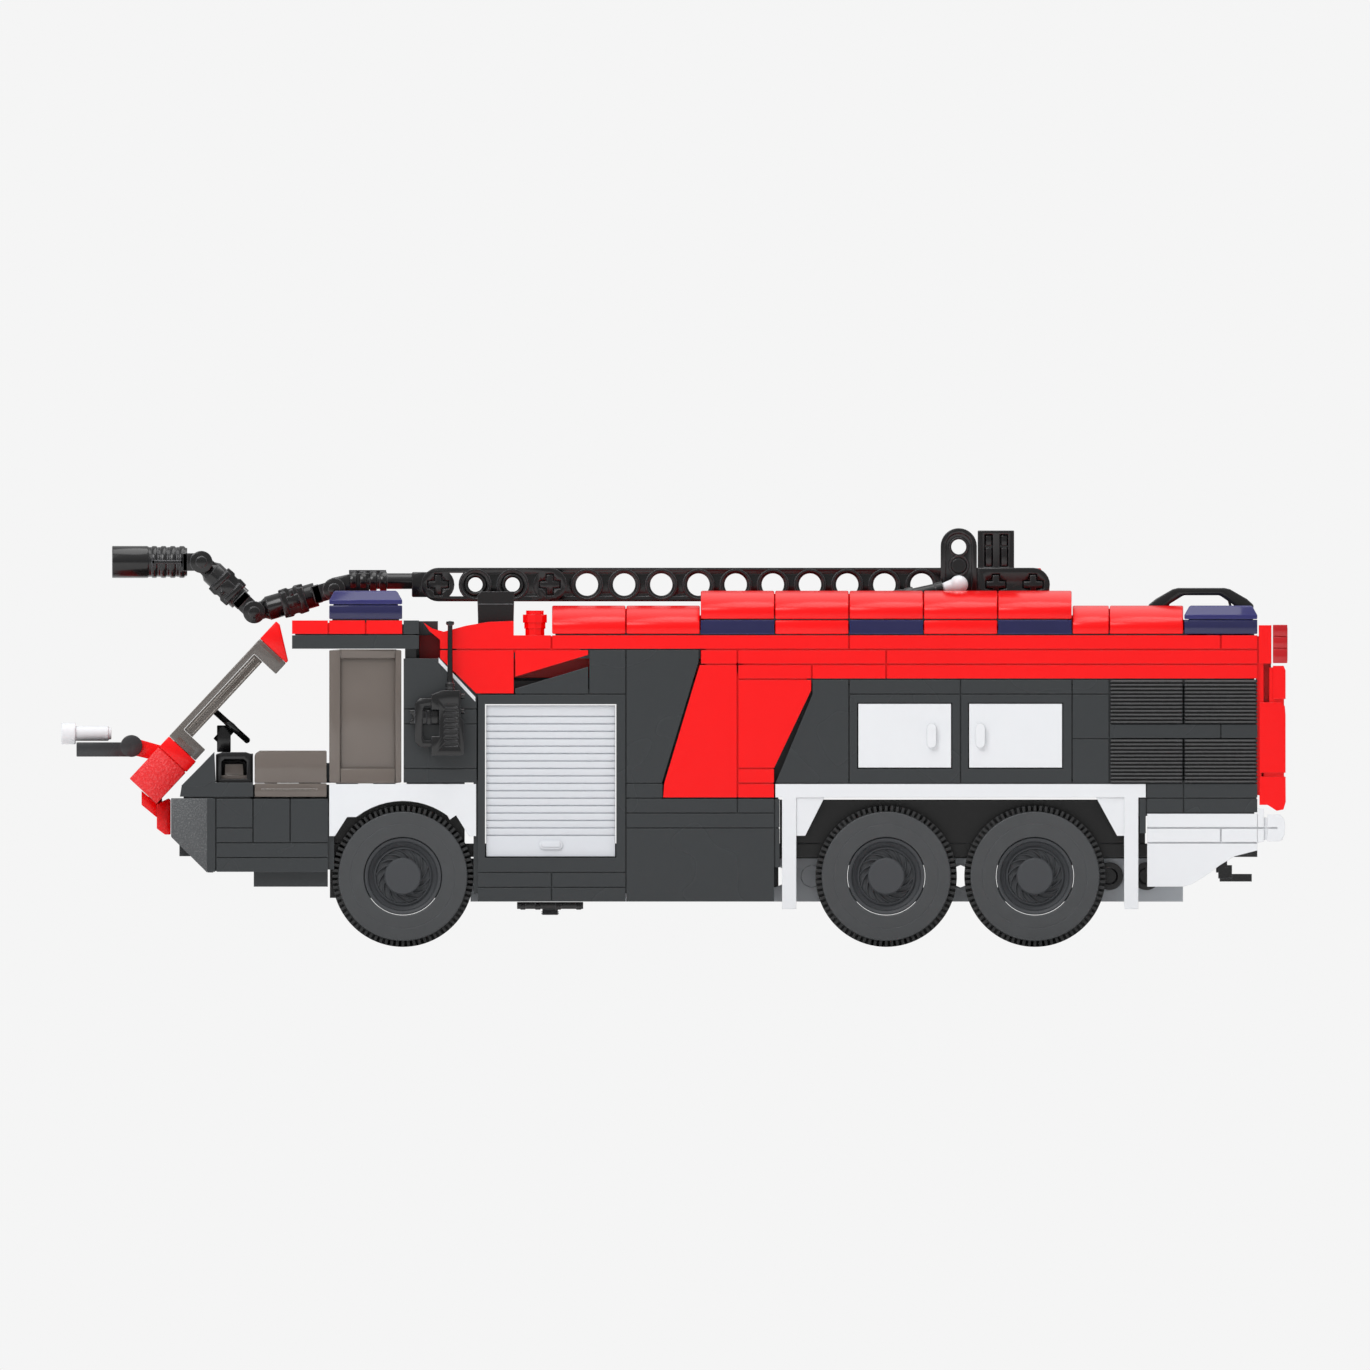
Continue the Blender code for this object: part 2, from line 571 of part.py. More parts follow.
# Ties behind the slanted fields, as the backing
FIELD_TIE_SHARES = ((13.0, 14.2, 10.0, 12.2), (14.0, 14.9, 17.5, 19.5), (12.1, 14.5, 16.5, 18.5),
                    (20.2, 21.6, 18.6, 20.5), (18.2, 20.4, 19.7, 20.5), (13.5, 14.5, 12.5, 17.0),
                    (13.6, 14.5, 10.5, 13.0), (20.0, 21.9, 20.5, 21.2))
# Outlines of the fields in studs along and plates up: sash, panel, cheek, fin and prow
FIELD_SHARES = (((15.03, 19.0), (14.0, 19.0), (14.0, 10.0), (16.02, 10.0), (15.99, 11.0)),
                ((14.0, 18.0), (12.0, 18.0), (12.0, 17.25), (13.0, 12.0), (14.0, 12.0)),
                ((22.02, 20.0), (20.0, 20.0), (20.0, 17.0), (21.04, 17.0), (22.02, 19.4)),
                ((20.0, 20.0), (18.0, 20.0), (18.0, 19.6), (20.0, 18.1)),
                ((22.52, 22.0), (22.3, 21.2), (22.02, 20.62), (22.02, 20.0), (20.0, 20.0), (20.0, 21.97),
                 (20.7, 21.9), (21.3, 21.65), (21.9, 21.25), (22.2, 21.45)))
# Filler caps on the walls: radius in studs, plates up from, plates up to
CAP_SHARES = (19.45, 3.5)
CAP_STEP_SHARES = ((0.27, 20.5, 21.6), (0.30, 21.4, 21.9), (0.34, 21.8, 22.35), (0.25, 22.3, 22.62))
LUG_SIZE_SHARES = (0.3, 0.8)          # half width and height of a lug, in studs
LUG_ACROSS_SHARES = (0.62, 0.92)
LUG_DROP_SHARE = 0.1
POST_HALF_SHARE = 0.44
POST_EASE_SHARE = 0.2
POST_FOOT_SHARE = 21.5


def filler_cap():
    """Waisted cap made of stacked discs."""
    k, j = CAP_SHARES
    discs = [rod((along(k), across(j), up(n_from)), (along(k), across(j), up(n_to)), radius * STUD, sides=10)
             for radius, n_from, n_to in CAP_STEP_SHARES]
    return discs


def upper_body():
    """Red bands along both sides, the roof deck between them and the red fields of the walls."""
    fields = grid_plates(FIELD_SHARES, across(INNER_SHARE) + SEAM, across(HALF_SHARE) - SEAM / 2)
    ties = wall_cores(BAND_BACKING_SHARES) + wall_cores(FIELD_TIE_SHARES, inner=TIE_SHARE)
    half_width, height = (share * STUD for share in LUG_SIZE_SHARES)
    y_from, y_to = (across(share) for share in LUG_ACROSS_SHARES)
    lug = capsule_up(along(LIFT_FOOT_SHARE), LIFT_FOOT_LEVEL - LUG_DROP_SHARE * STUD, half_width, height,
                     y_from, y_to)
    foot_place = (LIFT_FOOT_SHARE, LIFT_FOOT_LEVEL / PLATE)
    bore = cross_rod(foot_place, -across(INNER_SHARE), across(INNER_SHARE), LIFT_PIN_RADIUS + SEAM)
    pivot = along(BOOM_PIVOT_SHARE)
    half = POST_HALF_SHARE * STUD
    ease = POST_EASE_SHARE * STUD
    post = prism([(pivot - half, up(POST_FOOT_SHARE)), (pivot + half, up(POST_FOOT_SHARE)),
                  (pivot + half, BOOM_LEVEL), (pivot + ease, BOOM_LEVEL + half),
                  (pivot - ease, BOOM_LEVEL + half), (pivot - half, BOOM_LEVEL)],
                 -BOOM_WIDTH / 2, BOOM_WIDTH / 2)
    pivot_bore = cross_rod((BOOM_PIVOT_SHARE, BOOM_LEVEL / PLATE), -STUD, STUD, PIN_HOLE_RADIUS)
    adds = grid_boxes(ROOF_CORE_SHARES) + ties + both(fields) + [wall_bricks(BAND_BRICK_SHARES)]
    adds += both(filler_cap()) + [joined(both([lug])), post]
    place("upper_body", "red", fused(grid_box(ROOF_DECK_SHARES), adds, [bore, pivot_bore]))


# Rounded roof edge. Slopes: along from, along to, lower plate, upper plate
SLOPE_SHARES = ((17.0, 19.0, 21.0, 23.0), (15.0, 17.0, 21.0, 23.0), (13.0, 15.0, 22.0, 24.0),
                (11.0, 13.0, 22.0, 24.0), (9.0, 11.0, 22.0, 24.0), (7.0, 9.0, 22.0, 24.0),
                (5.0, 7.0, 22.0, 24.0), (4.0, 5.0, 21.0, 23.0), (2.0, 4.0, 21.0, 23.0))
SLOPE_INNER_SHARE = 2.0
SLOPE_LIP = 0.0018
SLOPE_STEPS = 6
# Joining strips inside the slopes, as blocks
STRIP_SHARES = ((15.1, 18.9, 2.1, 3.25, 21.3, 22.5), (5.1, 14.9, 2.1, 3.25, 22.3, 23.5),
                (2.1, 4.9, 2.1, 3.25, 21.3, 22.5), (14.5, 15.5, 2.1, 3.25, 22.3, 22.6),
                (4.5, 5.5, 2.1, 3.25, 22.3, 22.6))
SLOPE_PLATE_SHARES = ((11.0, 13.0, 3.35, 4.0, 21.0, 22.0), (7.0, 9.0, 3.35, 4.0, 21.0, 22.0))
SLOPE_STEM_SHARES = ((11.0, 13.0, 3.4, 3.7, 21.5, 22.5), (7.0, 9.0, 3.4, 3.7, 21.5, 22.5))
# Side lamps between those plates, and the strip that carries them
LAMP_TILE_SHARES = ((13.0, 15.0, 3.2, 4.0, 21.0, 22.0), (9.0, 11.0, 3.2, 4.0, 21.0, 22.0),
                    (5.0, 7.0, 3.2, 4.0, 21.0, 22.0))
LAMP_STRIP_SHARES = (5.0, 15.0, 3.0, 3.3, 21.0, 22.0)


def curved_slope(k_from, k_to, n_low, n_high):
    """Slope of two studs across, rising to the middle of the roof in an arc."""
    outer = across(HALF_SHARE) - SEAM / 2
    inner = across(SLOPE_INNER_SHARE) + SEAM / 2
    foot = up(n_low) + SEAM / 2
    lip = foot + SLOPE_LIP
    top = up(n_high) - SEAM / 2
    outline = [(inner, foot), (outer, foot)]
    for step in range(SLOPE_STEPS + 1):
        angle = math.pi / 2 * step / SLOPE_STEPS
        outline.append((inner + (outer - inner) * math.cos(angle), lip + (top - lip) * math.sin(angle)))
    return long_prism(outline, along(k_from) + SEAM / 2, along(k_to) - SEAM / 2)


def roof_slopes():
    """Rounded edge of the roof, with its plates between the side lamps."""
    first, *strips = grid_boxes(STRIP_SHARES, 0.0)
    slopes = joined([curved_slope(*row) for row in SLOPE_SHARES])
    plates = joined(grid_boxes(SLOPE_PLATE_SHARES, SEAM / 2))
    stems = joined(grid_boxes(SLOPE_STEM_SHARES))
    mesh = fused(first, strips + [slopes, plates, stems])
    place("roof_slopes_left", "red", mesh.copy())
    place("roof_slopes_right", "red", mirrored(mesh))


def side_lamps():
    """Clear blue tiles under the slopes, moulded on one strip on each side."""
    mesh = fused(grid_box(LAMP_STRIP_SHARES), [joined(grid_boxes(LAMP_TILE_SHARES, SEAM / 2))])
    place("side_lamps_left", "blue", mesh.copy())
    place("side_lamps_right", "blue", mirrored(mesh))


# Lamps on the roof: along from, along to, lower plate
BEACONS = {"front_lamp": (23.0, 25.0, 22.0), "rear_lamp": (0.0, 2.0, 21.0)}
BEACON_LEAN = 0.0007
BEACON_GROOVE = 0.0004


def beacon(name):
    """Blue lamp of a block and a tapered cap with a groove between, left and right."""
    k_from, k_to, n_low = BEACONS[name]
    block = grid_box((k_from, k_to, SLOPE_INNER_SHARE, HALF_SHARE, n_low, n_low + 1), SEAM / 2)
    neck = box(along(k_from) + BEACON_GROOVE * 2, along(k_to) - BEACON_GROOVE * 2,
               across(SLOPE_INNER_SHARE) + BEACON_GROOVE * 2, across(HALF_SHARE) - BEACON_GROOVE * 2,
               up(n_low) + SEAM, up(n_low + 1) + PLATE / 2)
    x_from, x_to = along(k_from) + SEAM / 2, along(k_to) - SEAM / 2
    y_from, y_to = across(SLOPE_INNER_SHARE) + SEAM / 2, across(HALF_SHARE) - SEAM / 2
    shape = bmesh.new()
    rings = []
    for ease, z in ((0.0, up(n_low + 1) + SEAM), (BEACON_LEAN / 4, up(n_low + 2) - BEACON_LEAN * 2),
                    (BEACON_LEAN, up(n_low + 2) - SEAM / 2)):
        corners = ((x_from + ease, y_from + ease, z), (x_to - ease, y_from + ease, z),
                   (x_to - ease, y_to - ease, z), (x_from + ease, y_to - ease, z))
        rings.append([shape.verts.new(corner) for corner in corners])
    shape.faces.new(rings[0])
    shape.faces.new(rings[-1])
    for low, high in zip(rings, rings[1:]):
        for index in range(len(low)):
            after = (index + 1) % len(low)
            shape.faces.new((low[index], low[after], high[after], high[index]))
    mesh = fused(block, [neck, mesh_of(shape)])
    place(name + "_left", "blue", mesh.copy())
    place(name + "_right", "blue", mirrored(mesh))


# Rails over the rear lamps: outer and inner edge in studs along and plates up
RAIL_OUTER_SHARES = ((2.95, 22.0), (2.95, 23.0), (2.75, 23.4), (2.3, 24.05), (2.15, 24.14), (0.9, 24.14),
                     (0.75, 24.05), (0.3, 23.4), (0.12, 23.0), (0.12, 22.0))
RAIL_INNER_SHARES = ((0.42, 22.0), (0.42, 22.95), (0.52, 23.2), (0.85, 23.75), (0.95, 23.84), (2.1, 23.84),
                     (2.2, 23.75), (2.55, 23.2), (2.65, 22.95), (2.65, 22.0))
RAIL_FOOT_SHARES = (0.0, 3.0, 1.5, 1.96, 21.0, 22.1)
RAIL_TIE_SHARES = (1.0, 2.0, -1.75, 1.75, 21.0, 22.0)


def roof_rail():
    """Pair of low rails over the tail lamps, each a hoop with raked ends on a foot plate."""
    hoop = prism(outline_of(RAIL_OUTER_SHARES + RAIL_INNER_SHARES), across(RAIL_FOOT_SHARES[2]),
                 across(RAIL_FOOT_SHARES[3]))
    feet = both([grid_box(RAIL_FOOT_SHARES, SEAM / 2)])
    place("roof_rail", "black", fused(grid_box(RAIL_TIE_SHARES, SEAM / 2), feet + both([hoop])))


# Tail. Outlines of the corner pieces in studs along and plates up: upper, middle and lower
TAIL_PIECE_SHARES = (((-0.38, 18.95), (-0.70, 18.95), (-0.76, 18.6), (-0.76, 16.62), (-0.38, 16.62)),
                     ((-0.02, 16.5), (-0.64, 16.5), (-0.74, 16.2), (-0.76, 15.6), (-0.76, 11.66),
                      (-0.02, 11.66)),
                     ((-0.02, 11.5), (-0.76, 11.5), (-0.765, 9.75), (-0.70, 9.2), (-0.5, 9.1), (-0.25, 9.5),
                      (-0.02, 9.5)))
TAIL_WALL_SHARES = (-0.38, 0.0, -3.1, 3.1, 9.5, 20.5)
TAIL_BLOCK_SHARES = (-0.38, 0.0, 3.0, 4.0, 19.0, 21.68)
# Backing of the corner pieces and of the recess between them
TAIL_CORE_SHARES = ((-0.70, -0.1, 2.95, 3.9, 9.7, 16.4), (-0.70, -0.3, 2.95, 3.9, 15.5, 18.8),
                    (-0.35, -0.05, 2.95, 3.45, 15.5, 19.5))
TAIL_LINE_SHARES = ((12.0, 12.0), (15.0, 15.0), (18.0, 18.0))
TAIL_LAMP_SHARES = (-0.79, -0.40, 3.05, 3.98, 19.05, 21.68)
TAIL_LAMP_LINE_SHARES = (20.1, 20.9)


def rear_panel():
    """Red tail: curved corner pieces, one over the other, and the brick wall between them."""
    pieces = grid_plates(TAIL_PIECE_SHARES, across(INNER_SHARE) + SEAM, across(HALF_SHARE) - SEAM / 2)
    block = grid_box(TAIL_BLOCK_SHARES, SEAM / 2)
    adds = both([block] + grid_boxes(TAIL_CORE_SHARES, 0.0)) + both(pieces)
    back = along(TAIL_WALL_SHARES[0]) + SEAM
    lines = [box(back - OVERRUN, back + GROOVE, -across(INNER_SHARE) + STUD / 2, across(INNER_SHARE) - STUD / 2,
                 up(n_from) - SEAM / 2, up(n_to) + SEAM / 2) for n_from, n_to in TAIL_LINE_SHARES]
    place("rear_panel", "red", fused(grid_box(TAIL_WALL_SHARES), adds, [joined(lines)]))


def tail_lamps():
    """Clear red tail lamps, ribbed across."""
    lamp = grid_box(TAIL_LAMP_SHARES, 0.0)
    k_from, j_from, j_to = TAIL_LAMP_SHARES[0], TAIL_LAMP_SHARES[2], TAIL_LAMP_SHARES[3]
    lines = [box(along(k_from) - OVERRUN, along(k_from) + GROOVE, across(j_from) - OVERRUN,
                 across(j_to) + OVERRUN, up(n) - SEAM, up(n) + SEAM) for n in TAIL_LAMP_LINE_SHARES]
    left = fused(lamp, (), [joined(lines)])
    place("tail_lamp_left", "tail", left.copy())
    place("tail_lamp_right", "tail", mirrored(left))


# White box under the tail: outlines in studs along and plates up, of the box, its end plate and its bumper
REAR_BOX_SHARES = (((3.0, 4.0), (3.0, 9.0), (0.0, 9.0), (0.0, 6.45), (0.62, 6.05), (1.02, 5.44), (1.425, 4.70),
                    (1.75, 4.2), (2.02, 4.0)),
                   ((0.03, 9.38), (-0.18, 9.38), (-0.18, 7.05), (0.03, 6.95)),
                   ((-0.23, 8.95), (-0.60, 8.95), (-0.72, 8.6), (-0.75, 8.1), (-0.73, 7.5), (-0.62, 7.05),
                    (-0.23, 7.05)))
REAR_BOX_TIE_SHARES = ((-0.15, 2.9, -2.5, 2.5, 7.0, 9.0), (-0.7, 0.1, -2.5, 2.5, 7.4, 8.6))
REAR_BOX_CORE_SHARES = (-0.66, 0.4, 2.1, 3.93, 7.2, 8.7)
REAR_BOX_LINE_SHARES = ((-0.5, 3.5, 8.0, 8.0), (-0.5, 3.5, 7.0, 7.0), (1.0, 1.0, 7.0, 8.0))


def rear_box():
    """White box under the tail, with its hollowed underside, end plate and bumper."""
    sides = both(grid_plates(REAR_BOX_SHARES, across(SLOPE_INNER_SHARE) + SEAM, across(HALF_SHARE) - SEAM / 2))
    tie, lip = grid_boxes(REAR_BOX_TIE_SHARES)
    core = both([grid_box(REAR_BOX_CORE_SHARES, 0.0)])
    place("rear_box", "white", fused(tie, [lip] + core + sides, joint_lines(REAR_BOX_LINE_SHARES)))


# Rear fenders. Blocks: along from, along to, across from, across to, up from, up to
REAR_STRIP_SHARES = (3.0, 13.0, 3.0, 4.0, 10.0, 11.0)
REAR_CROSS_SHARES = ((3.0, 5.0, -3.15, 3.15, 10.0, 11.0), (11.0, 13.0, -3.15, 3.15, 10.0, 11.0))
REAR_POST_SHARES = ((12.40, 12.82, 3.0, 4.0, 2.5, 10.5), (3.20, 3.62, 3.0, 4.0, 2.5, 10.5))
# Corner webs: outlines in studs along and plates up
REAR_WEB_SHARES = (((12.45, 10.25), (11.62, 10.25), (12.18, 7.47), (12.5, 7.47)),
                   ((4.40, 10.25), (3.5, 10.25), (3.5, 7.47), (3.79, 7.47)))
REAR_WEB_THICKNESS = 0.0010


def rear_fenders():
    """White strips over the rear wheels, with their posts and corner webs, tied by two cross plates."""
    first, second = grid_boxes(REAR_CROSS_SHARES)
    strips = both([grid_box(REAR_STRIP_SHARES, SEAM / 2)])
    posts = both(grid_boxes(REAR_POST_SHARES, SEAM / 2))
    face = across(HALF_SHARE) - SEAM / 2
    webs = both([prism(outline_of(shares), face - REAR_WEB_THICKNESS, face - SEAM)
                 for shares in REAR_WEB_SHARES])
    place("rear_fenders", "white", fused(first, [second] + strips + [joined(posts), joined(webs)]))


# Front fender: ends along, and its edge from the rear leg to the arch and from the arch to the front leg
FENDER_END_SHARES = (21.03, 25.0)
FENDER_TOP_SHARE = 11.0
FENDER_REAR_LEG_SHARES = ((21.22, 7.45), (21.57, 8.85), (21.74, 8.55))
FENDER_FRONT_LEG_SHARES = ((24.26, 8.73), (24.5, 8.73), (24.83, 7.45))
FENDER_LEG_FOOT_SHARE = 7.45
FENDER_CLEARANCE = 0.0010
FENDER_ARCH = (math.radians(53), math.radians(126))
FENDER_STEPS = 12


def front_fenders():
    """White arches over the front wheels, notched where they meet their legs."""
    wheel_x = along(AXLE_SHARES["front"])
    arch = WHEEL_RADIUS + FENDER_CLEARANCE
    x_from = along(FENDER_END_SHARES[0])
    x_to = along(FENDER_END_SHARES[1]) - SEAM / 2
    top = up(FENDER_TOP_SHARE) - SEAM / 2
    foot = up(FENDER_LEG_FOOT_SHARE)
    outline = [(x_to, foot), (x_to, top), (x_from, top), (x_from, foot)] + outline_of(FENDER_REAR_LEG_SHARES)
    first, last = FENDER_ARCH
    for step in range(FENDER_STEPS + 1):
        angle = last + (first - last) * step / FENDER_STEPS
        outline.append((wheel_x + arch * math.cos(angle), WHEEL_RADIUS + arch * math.sin(angle)))
    outline += outline_of(FENDER_FRONT_LEG_SHARES)
    left = prism(outline, across(INNER_SHARE) + SEAM / 2, across(HALF_SHARE) - SEAM / 2)
    place("front_fender_left", "white", left.copy())
    place("front_fender_right", "white", mirrored(left))


def lean(depth, height):
    """Point of the leaning front: depth inwards from the screen's face, height along its lean."""
    foot_x = along(SCREEN_FOOT_SHARES[0])
    foot_z = up(SCREEN_FOOT_SHARES[1])
    x = foot_x - height * math.cos(SCREEN_TILT) - depth * math.sin(SCREEN_TILT)
    z = foot_z + height * math.sin(SCREEN_TILT) - depth * math.cos(SCREEN_TILT)
    return (x, z)


def lean_prism(corners, y_from, y_to):
    """Prism of an outline given in (depth, height) of the leaning front."""
    return prism([lean(depth, height) for depth, height in corners], y_from, y_to)


def lean_box(depth_from, depth_to, height_from, height_to, y_from, y_to):
    corners = ((depth_from, height_from), (depth_to, height_from), (depth_to, height_to),
               (depth_from, height_to))
    return lean_prism(corners, y_from, y_to)


def windscreen():
    """Leaning screen, a moulded C with a foot and a head flange and shallow cheeks."""
    side = across(INNER_SHARE) - SEAM
    top = up(SCREEN_HEIGHT_SHARE) - SEAM / 2
    low = SEAM / 2
    reach = STUD - SEAM
    corners = ((0.0, low), (reach, low), (reach, PLATE), (SCREEN_GLASS, PLATE), (SCREEN_GLASS, top - PLATE),
               (reach, top - PLATE), (reach, top), (0.0, top))
    cheeks = both([lean_box(SCREEN_GLASS / 2, SCREEN_CHEEK, PLATE / 2, top - PLATE / 2,
                            side - SCREEN_GLASS, side)])
    place("windscreen", "smoke", fused(lean_prism(corners, -side, side), cheeks))


# Red row on the screen's head: rise and the lip's height, in plates, and the row's pieces
SCREEN_CAP_RISE_SHARE = 1.6
SCREEN_CAP_LIP_SHARE = 0.2
SCREEN_CAP_DEPTH_SHARE = 0.33
SCREEN_CAP_PIECES = 6


def screen_cap():
    """Row of small red slopes on the head of the screen."""
    side = across(INNER_SHARE) - SEAM
    base = up(SCREEN_HEIGHT_SHARE) + SEAM / 2
    crown = base + up(SCREEN_CAP_RISE_SHARE)
    corners = ((0.0, base), (STUD - SEAM, base), (STUD - SEAM, base + up(SCREEN_CAP_LIP_SHARE)),
               (up(SCREEN_CAP_DEPTH_SHARE), crown), (0.0, crown))
    grooves = []
    for index in range(1, SCREEN_CAP_PIECES):
        y = across(index - INNER_SHARE)
        grooves.append(lean_box(-OVERRUN, STUD + OVERRUN, base + PLATE, crown + OVERRUN,
                                y - SEAM / 2, y + SEAM / 2))
    place("screen_cap", "red", fused(lean_prism(corners, -side, side), (), [joined(grooves)]))


# Bumper block under the screen: heights along the lean, in plates, and its outlines in studs and plates
BUMPER_DROP_SHARES = (1.0, 3.9)
BUMPER_CORE_SHARE = 3.8
APRON_SHARES = ((29.62, 9.6), (29.3, 10.0), (29.28, 7.55), (29.40, 7.55), (29.62, 7.95))
CHIN_SHARES = ((30.03, 10.5), (29.62, 9.63), (29.62, 8.7), (30.03, 9.55))
CHIN_CORE_SHARES = ((30.0, 11.0), (29.5, 11.0), (29.45, 8.9), (29.62, 8.9))
APRON_HALF_SHARE = 2.0
CHIN_HALF_SHARE = 1.0
CHIN_CORE_HALF_SHARE = 0.9
# Turret on the bumper: hinge in studs along and plates up, then its reach in studs
TURRET_SHARES = (30.30, 13.51)
TURRET_ARM_SHARES = (30.66, 31.78)
TURRET_BAR_SHARES = (30.84, 31.9)
TURRET_HEAD_SHARES = (31.785, 32.19)
TURRET_RING = 0.00237
TURRET_LUG_HALF = 0.0019
TURRET_CHEEK = 0.0018
TURRET_HEAD_RADIUS = 0.00235
TURRET_BAR_RADIUS = 0.0016
TURRET_MOUTH_DEPTH = 0.0015
TURRET_ARM_THICKNESS = 0.0031
# Root of the turret's lug on the bumper: depth and height of its corners along the lean
TURRET_ROOT = ((0.0027, -0.0051), (0.0027, -0.0013))


def bumper_block():
    """Leaning red block under the screen, with the turret's lug and the apron below."""
    side = across(INNER_SHARE) - SEAM
    middle, foot = (up(share) for share in BUMPER_DROP_SHARES)
    upper = lean_box(0.0, STUD, -middle + SEAM / 2, -SEAM / 2, -side, side)
    lower = lean_box(0.0, STUD, -foot, -middle - SEAM / 2, -side, side)
    core = lean_box(GROOVE, STUD - GROOVE, -up(BUMPER_CORE_SHARE), -SEAM, -side + GROOVE, side - GROOVE)
    lower_parts = []
    for shares, half_share in ((CHIN_CORE_SHARES, CHIN_CORE_HALF_SHARE), (APRON_SHARES, APRON_HALF_SHARE),
                               (CHIN_SHARES, CHIN_HALF_SHARE)):
        lower_parts.append(prism(outline_of(shares), -across(half_share), across(half_share)))
    x, z = along(TURRET_SHARES[0]), up(TURRET_SHARES[1])
    lug = cross_rod(TURRET_SHARES, -TURRET_LUG_HALF, TURRET_LUG_HALF, TURRET_RING, sides=16)
    root = [lean(*corner) for corner in TURRET_ROOT]
    arm = prism([(x, z + TURRET_LUG_HALF), (x, z - TURRET_LUG_HALF)] + root, -TURRET_LUG_HALF, TURRET_LUG_HALF)
    mesh = fused(core, [joined([upper, lower])] + lower_parts + [lug, arm])
    place("bumper_block", "red", mesh)


def turret():
    """Small monitor: a hinged arm plate, forked round the lug, with a spout lying on it."""
    x, z = along(TURRET_SHARES[0]), up(TURRET_SHARES[1])
    near = TURRET_LUG_HALF + SEAM
    far = near + TURRET_CHEEK
    neck, tip = (along(share) for share in TURRET_ARM_SHARES)
    top = z + PLATE / 4
    low = top - TURRET_ARM_THICKNESS
    knuckles = both([cross_rod(TURRET_SHARES, near, far, TURRET_RING, sides=16)])
    cheeks = both([box(x, tip - STUD / 2, near, far, low, top)])
    plate = box(neck, tip, -far, far, low, top)
    place("turret_arm", "dark", fused(plate, [joined(cheeks), joined(knuckles)]), axis=(x, 0, z))
    level = top + SEAM + TURRET_BAR_RADIUS
    bar, head = ([along(share) for share in shares] for shares in (TURRET_BAR_SHARES, TURRET_HEAD_SHARES))
    spout = rod((bar[0], 0, level), (bar[1], 0, level), TURRET_BAR_RADIUS, sides=16)
    knob = rod((head[0], 0, level), (head[1], 0, level), TURRET_HEAD_RADIUS, sides=16)
    mouth = rod((head[1] - TURRET_MOUTH_DEPTH, 0, level), (head[1] + OVERRUN, 0, level), TURRET_BAR_RADIUS,
                sides=16)
    place("turret_nozzle", "white", fused(knob, [spout], [mouth]), axis=(x, 0, z), smooth=True)


# Front of the cab. Block, then bricks of both walls: along from, along to, up from, up to
CAB_BLOCK_SHARES = (25.0, 28.24, -3.93, 3.93, 5.0, 10.0)
CAB_BRICK_SHARES = ((27.03, 28.03, 8.0, 10.0), (27.03, 28.03, 7.0, 8.0), (26.03, 27.03, 7.0, 10.0),
                    (25.0, 26.03, 7.0, 10.0), (25.0, 28.03, 6.0, 7.0), (25.0, 28.03, 5.0, 6.0),
                    (28.03, 28.24, 5.0, 10.0))
CAB_STEP_SHARES = (25.0, 27.03, 2.2, 3.7, 4.0, 5.3)
CAB_CORNER_SHARES = ((29.23, 10.0), (28.1, 10.0), (28.1, 5.0), (28.24, 5.0), (29.23, 7.4))
CAB_NOSE_SHARES = ((28.98, 9.9), (28.1, 9.9), (28.1, 5.1), (28.6, 6.05), (28.98, 7.0))
CAB_NOSE_BLOCK_SHARES = (28.2, 29.03, -1.5, 1.5, 6.05, 7.2)
CAB_RAMP_SHARES = ((29.0, 10.1), (28.95, 10.84), (28.07, 13.12), (28.03, 11.05), (27.03, 11.05), (27.03, 10.1))
CAB_RAMP_ROOT_SHARES = (27.1, 28.9, 3.2, 3.8, 9.5, 10.5)
CAB_CORNER_FROM_SHARE = 2.0
CAB_CORNER_ACROSS_SHARE = 2.2


def cab_front():
    """Dark bricks under the cab floor, the slanted front corners and the ramps beside the screen."""
    face = across(HALF_SHARE) - SEAM / 2
    corners = both([prism(outline_of(CAB_CORNER_SHARES), across(CAB_CORNER_FROM_SHARE), face)])
    ramps = both([prism(outline_of(CAB_RAMP_SHARES), across(INNER_SHARE) + SEAM, face)])
    nose_half = across(CAB_CORNER_ACROSS_SHARE)
    nose = prism(outline_of(CAB_NOSE_SHARES), -nose_half, nose_half)
    steps = joined(both([grid_box(CAB_STEP_SHARES, SEAM / 2)]))
    roots = both([grid_box(CAB_RAMP_ROOT_SHARES, 0.0)])
    adds = [wall_bricks(CAB_BRICK_SHARES), steps] + corners + [nose, grid_box(CAB_NOSE_BLOCK_SHARES, SEAM / 2)]
    place("cab_front", "dark", fused(grid_box(CAB_BLOCK_SHARES), adds + ramps + roots))


# Cab. Blocks: along from, along to, across from, across to, up from, up to
CAB_FLOOR_SHARES = (21.0, 28.03, -3.0, 3.0, 10.0, 11.0)
CAB_SHELL_SHARES = ((21.3, 22.0, -3.0, 3.0, 10.5, 20.0), (22.6, 22.98, -3.7, 3.7, 18.5, 20.5),
                    (21.3, 22.6, -3.0, 3.0, 18.0, 20.0), (22.02, 22.8, -3.0, 3.0, 19.5, 22.0),
                    (22.65, 22.9, -3.5, 3.5, 20.5, 21.5))
CAB_ROOF_SHARES = ((22.55, 26.0, -4.0, 4.0, 20.0, 21.0), (22.55, 23.0, -4.0, 4.0, 21.0, 22.0))
CAB_PANEL_SHARES = (((23.0, 11.0), (23.0, 19.44), (22.05, 19.44), (21.0, 16.85), (21.0, 11.0)),)
CAB_LINE_SHARES = ((20.8, 23.2, 12.0, 12.0), (20.8, 23.2, 15.0, 15.0), (20.8, 23.2, 16.0, 16.0))
DASH_SHARES = (27.03, 28.0, 0.6, 2.6, 10.5, 13.0)
CUP_SHARES = (27.2, 27.85, 0.8, 2.4, 12.2, 14.0)
SEAT_BLOCK_SHARES = (26.38, 26.72, 0.9, 2.1, 10.5, 12.0)


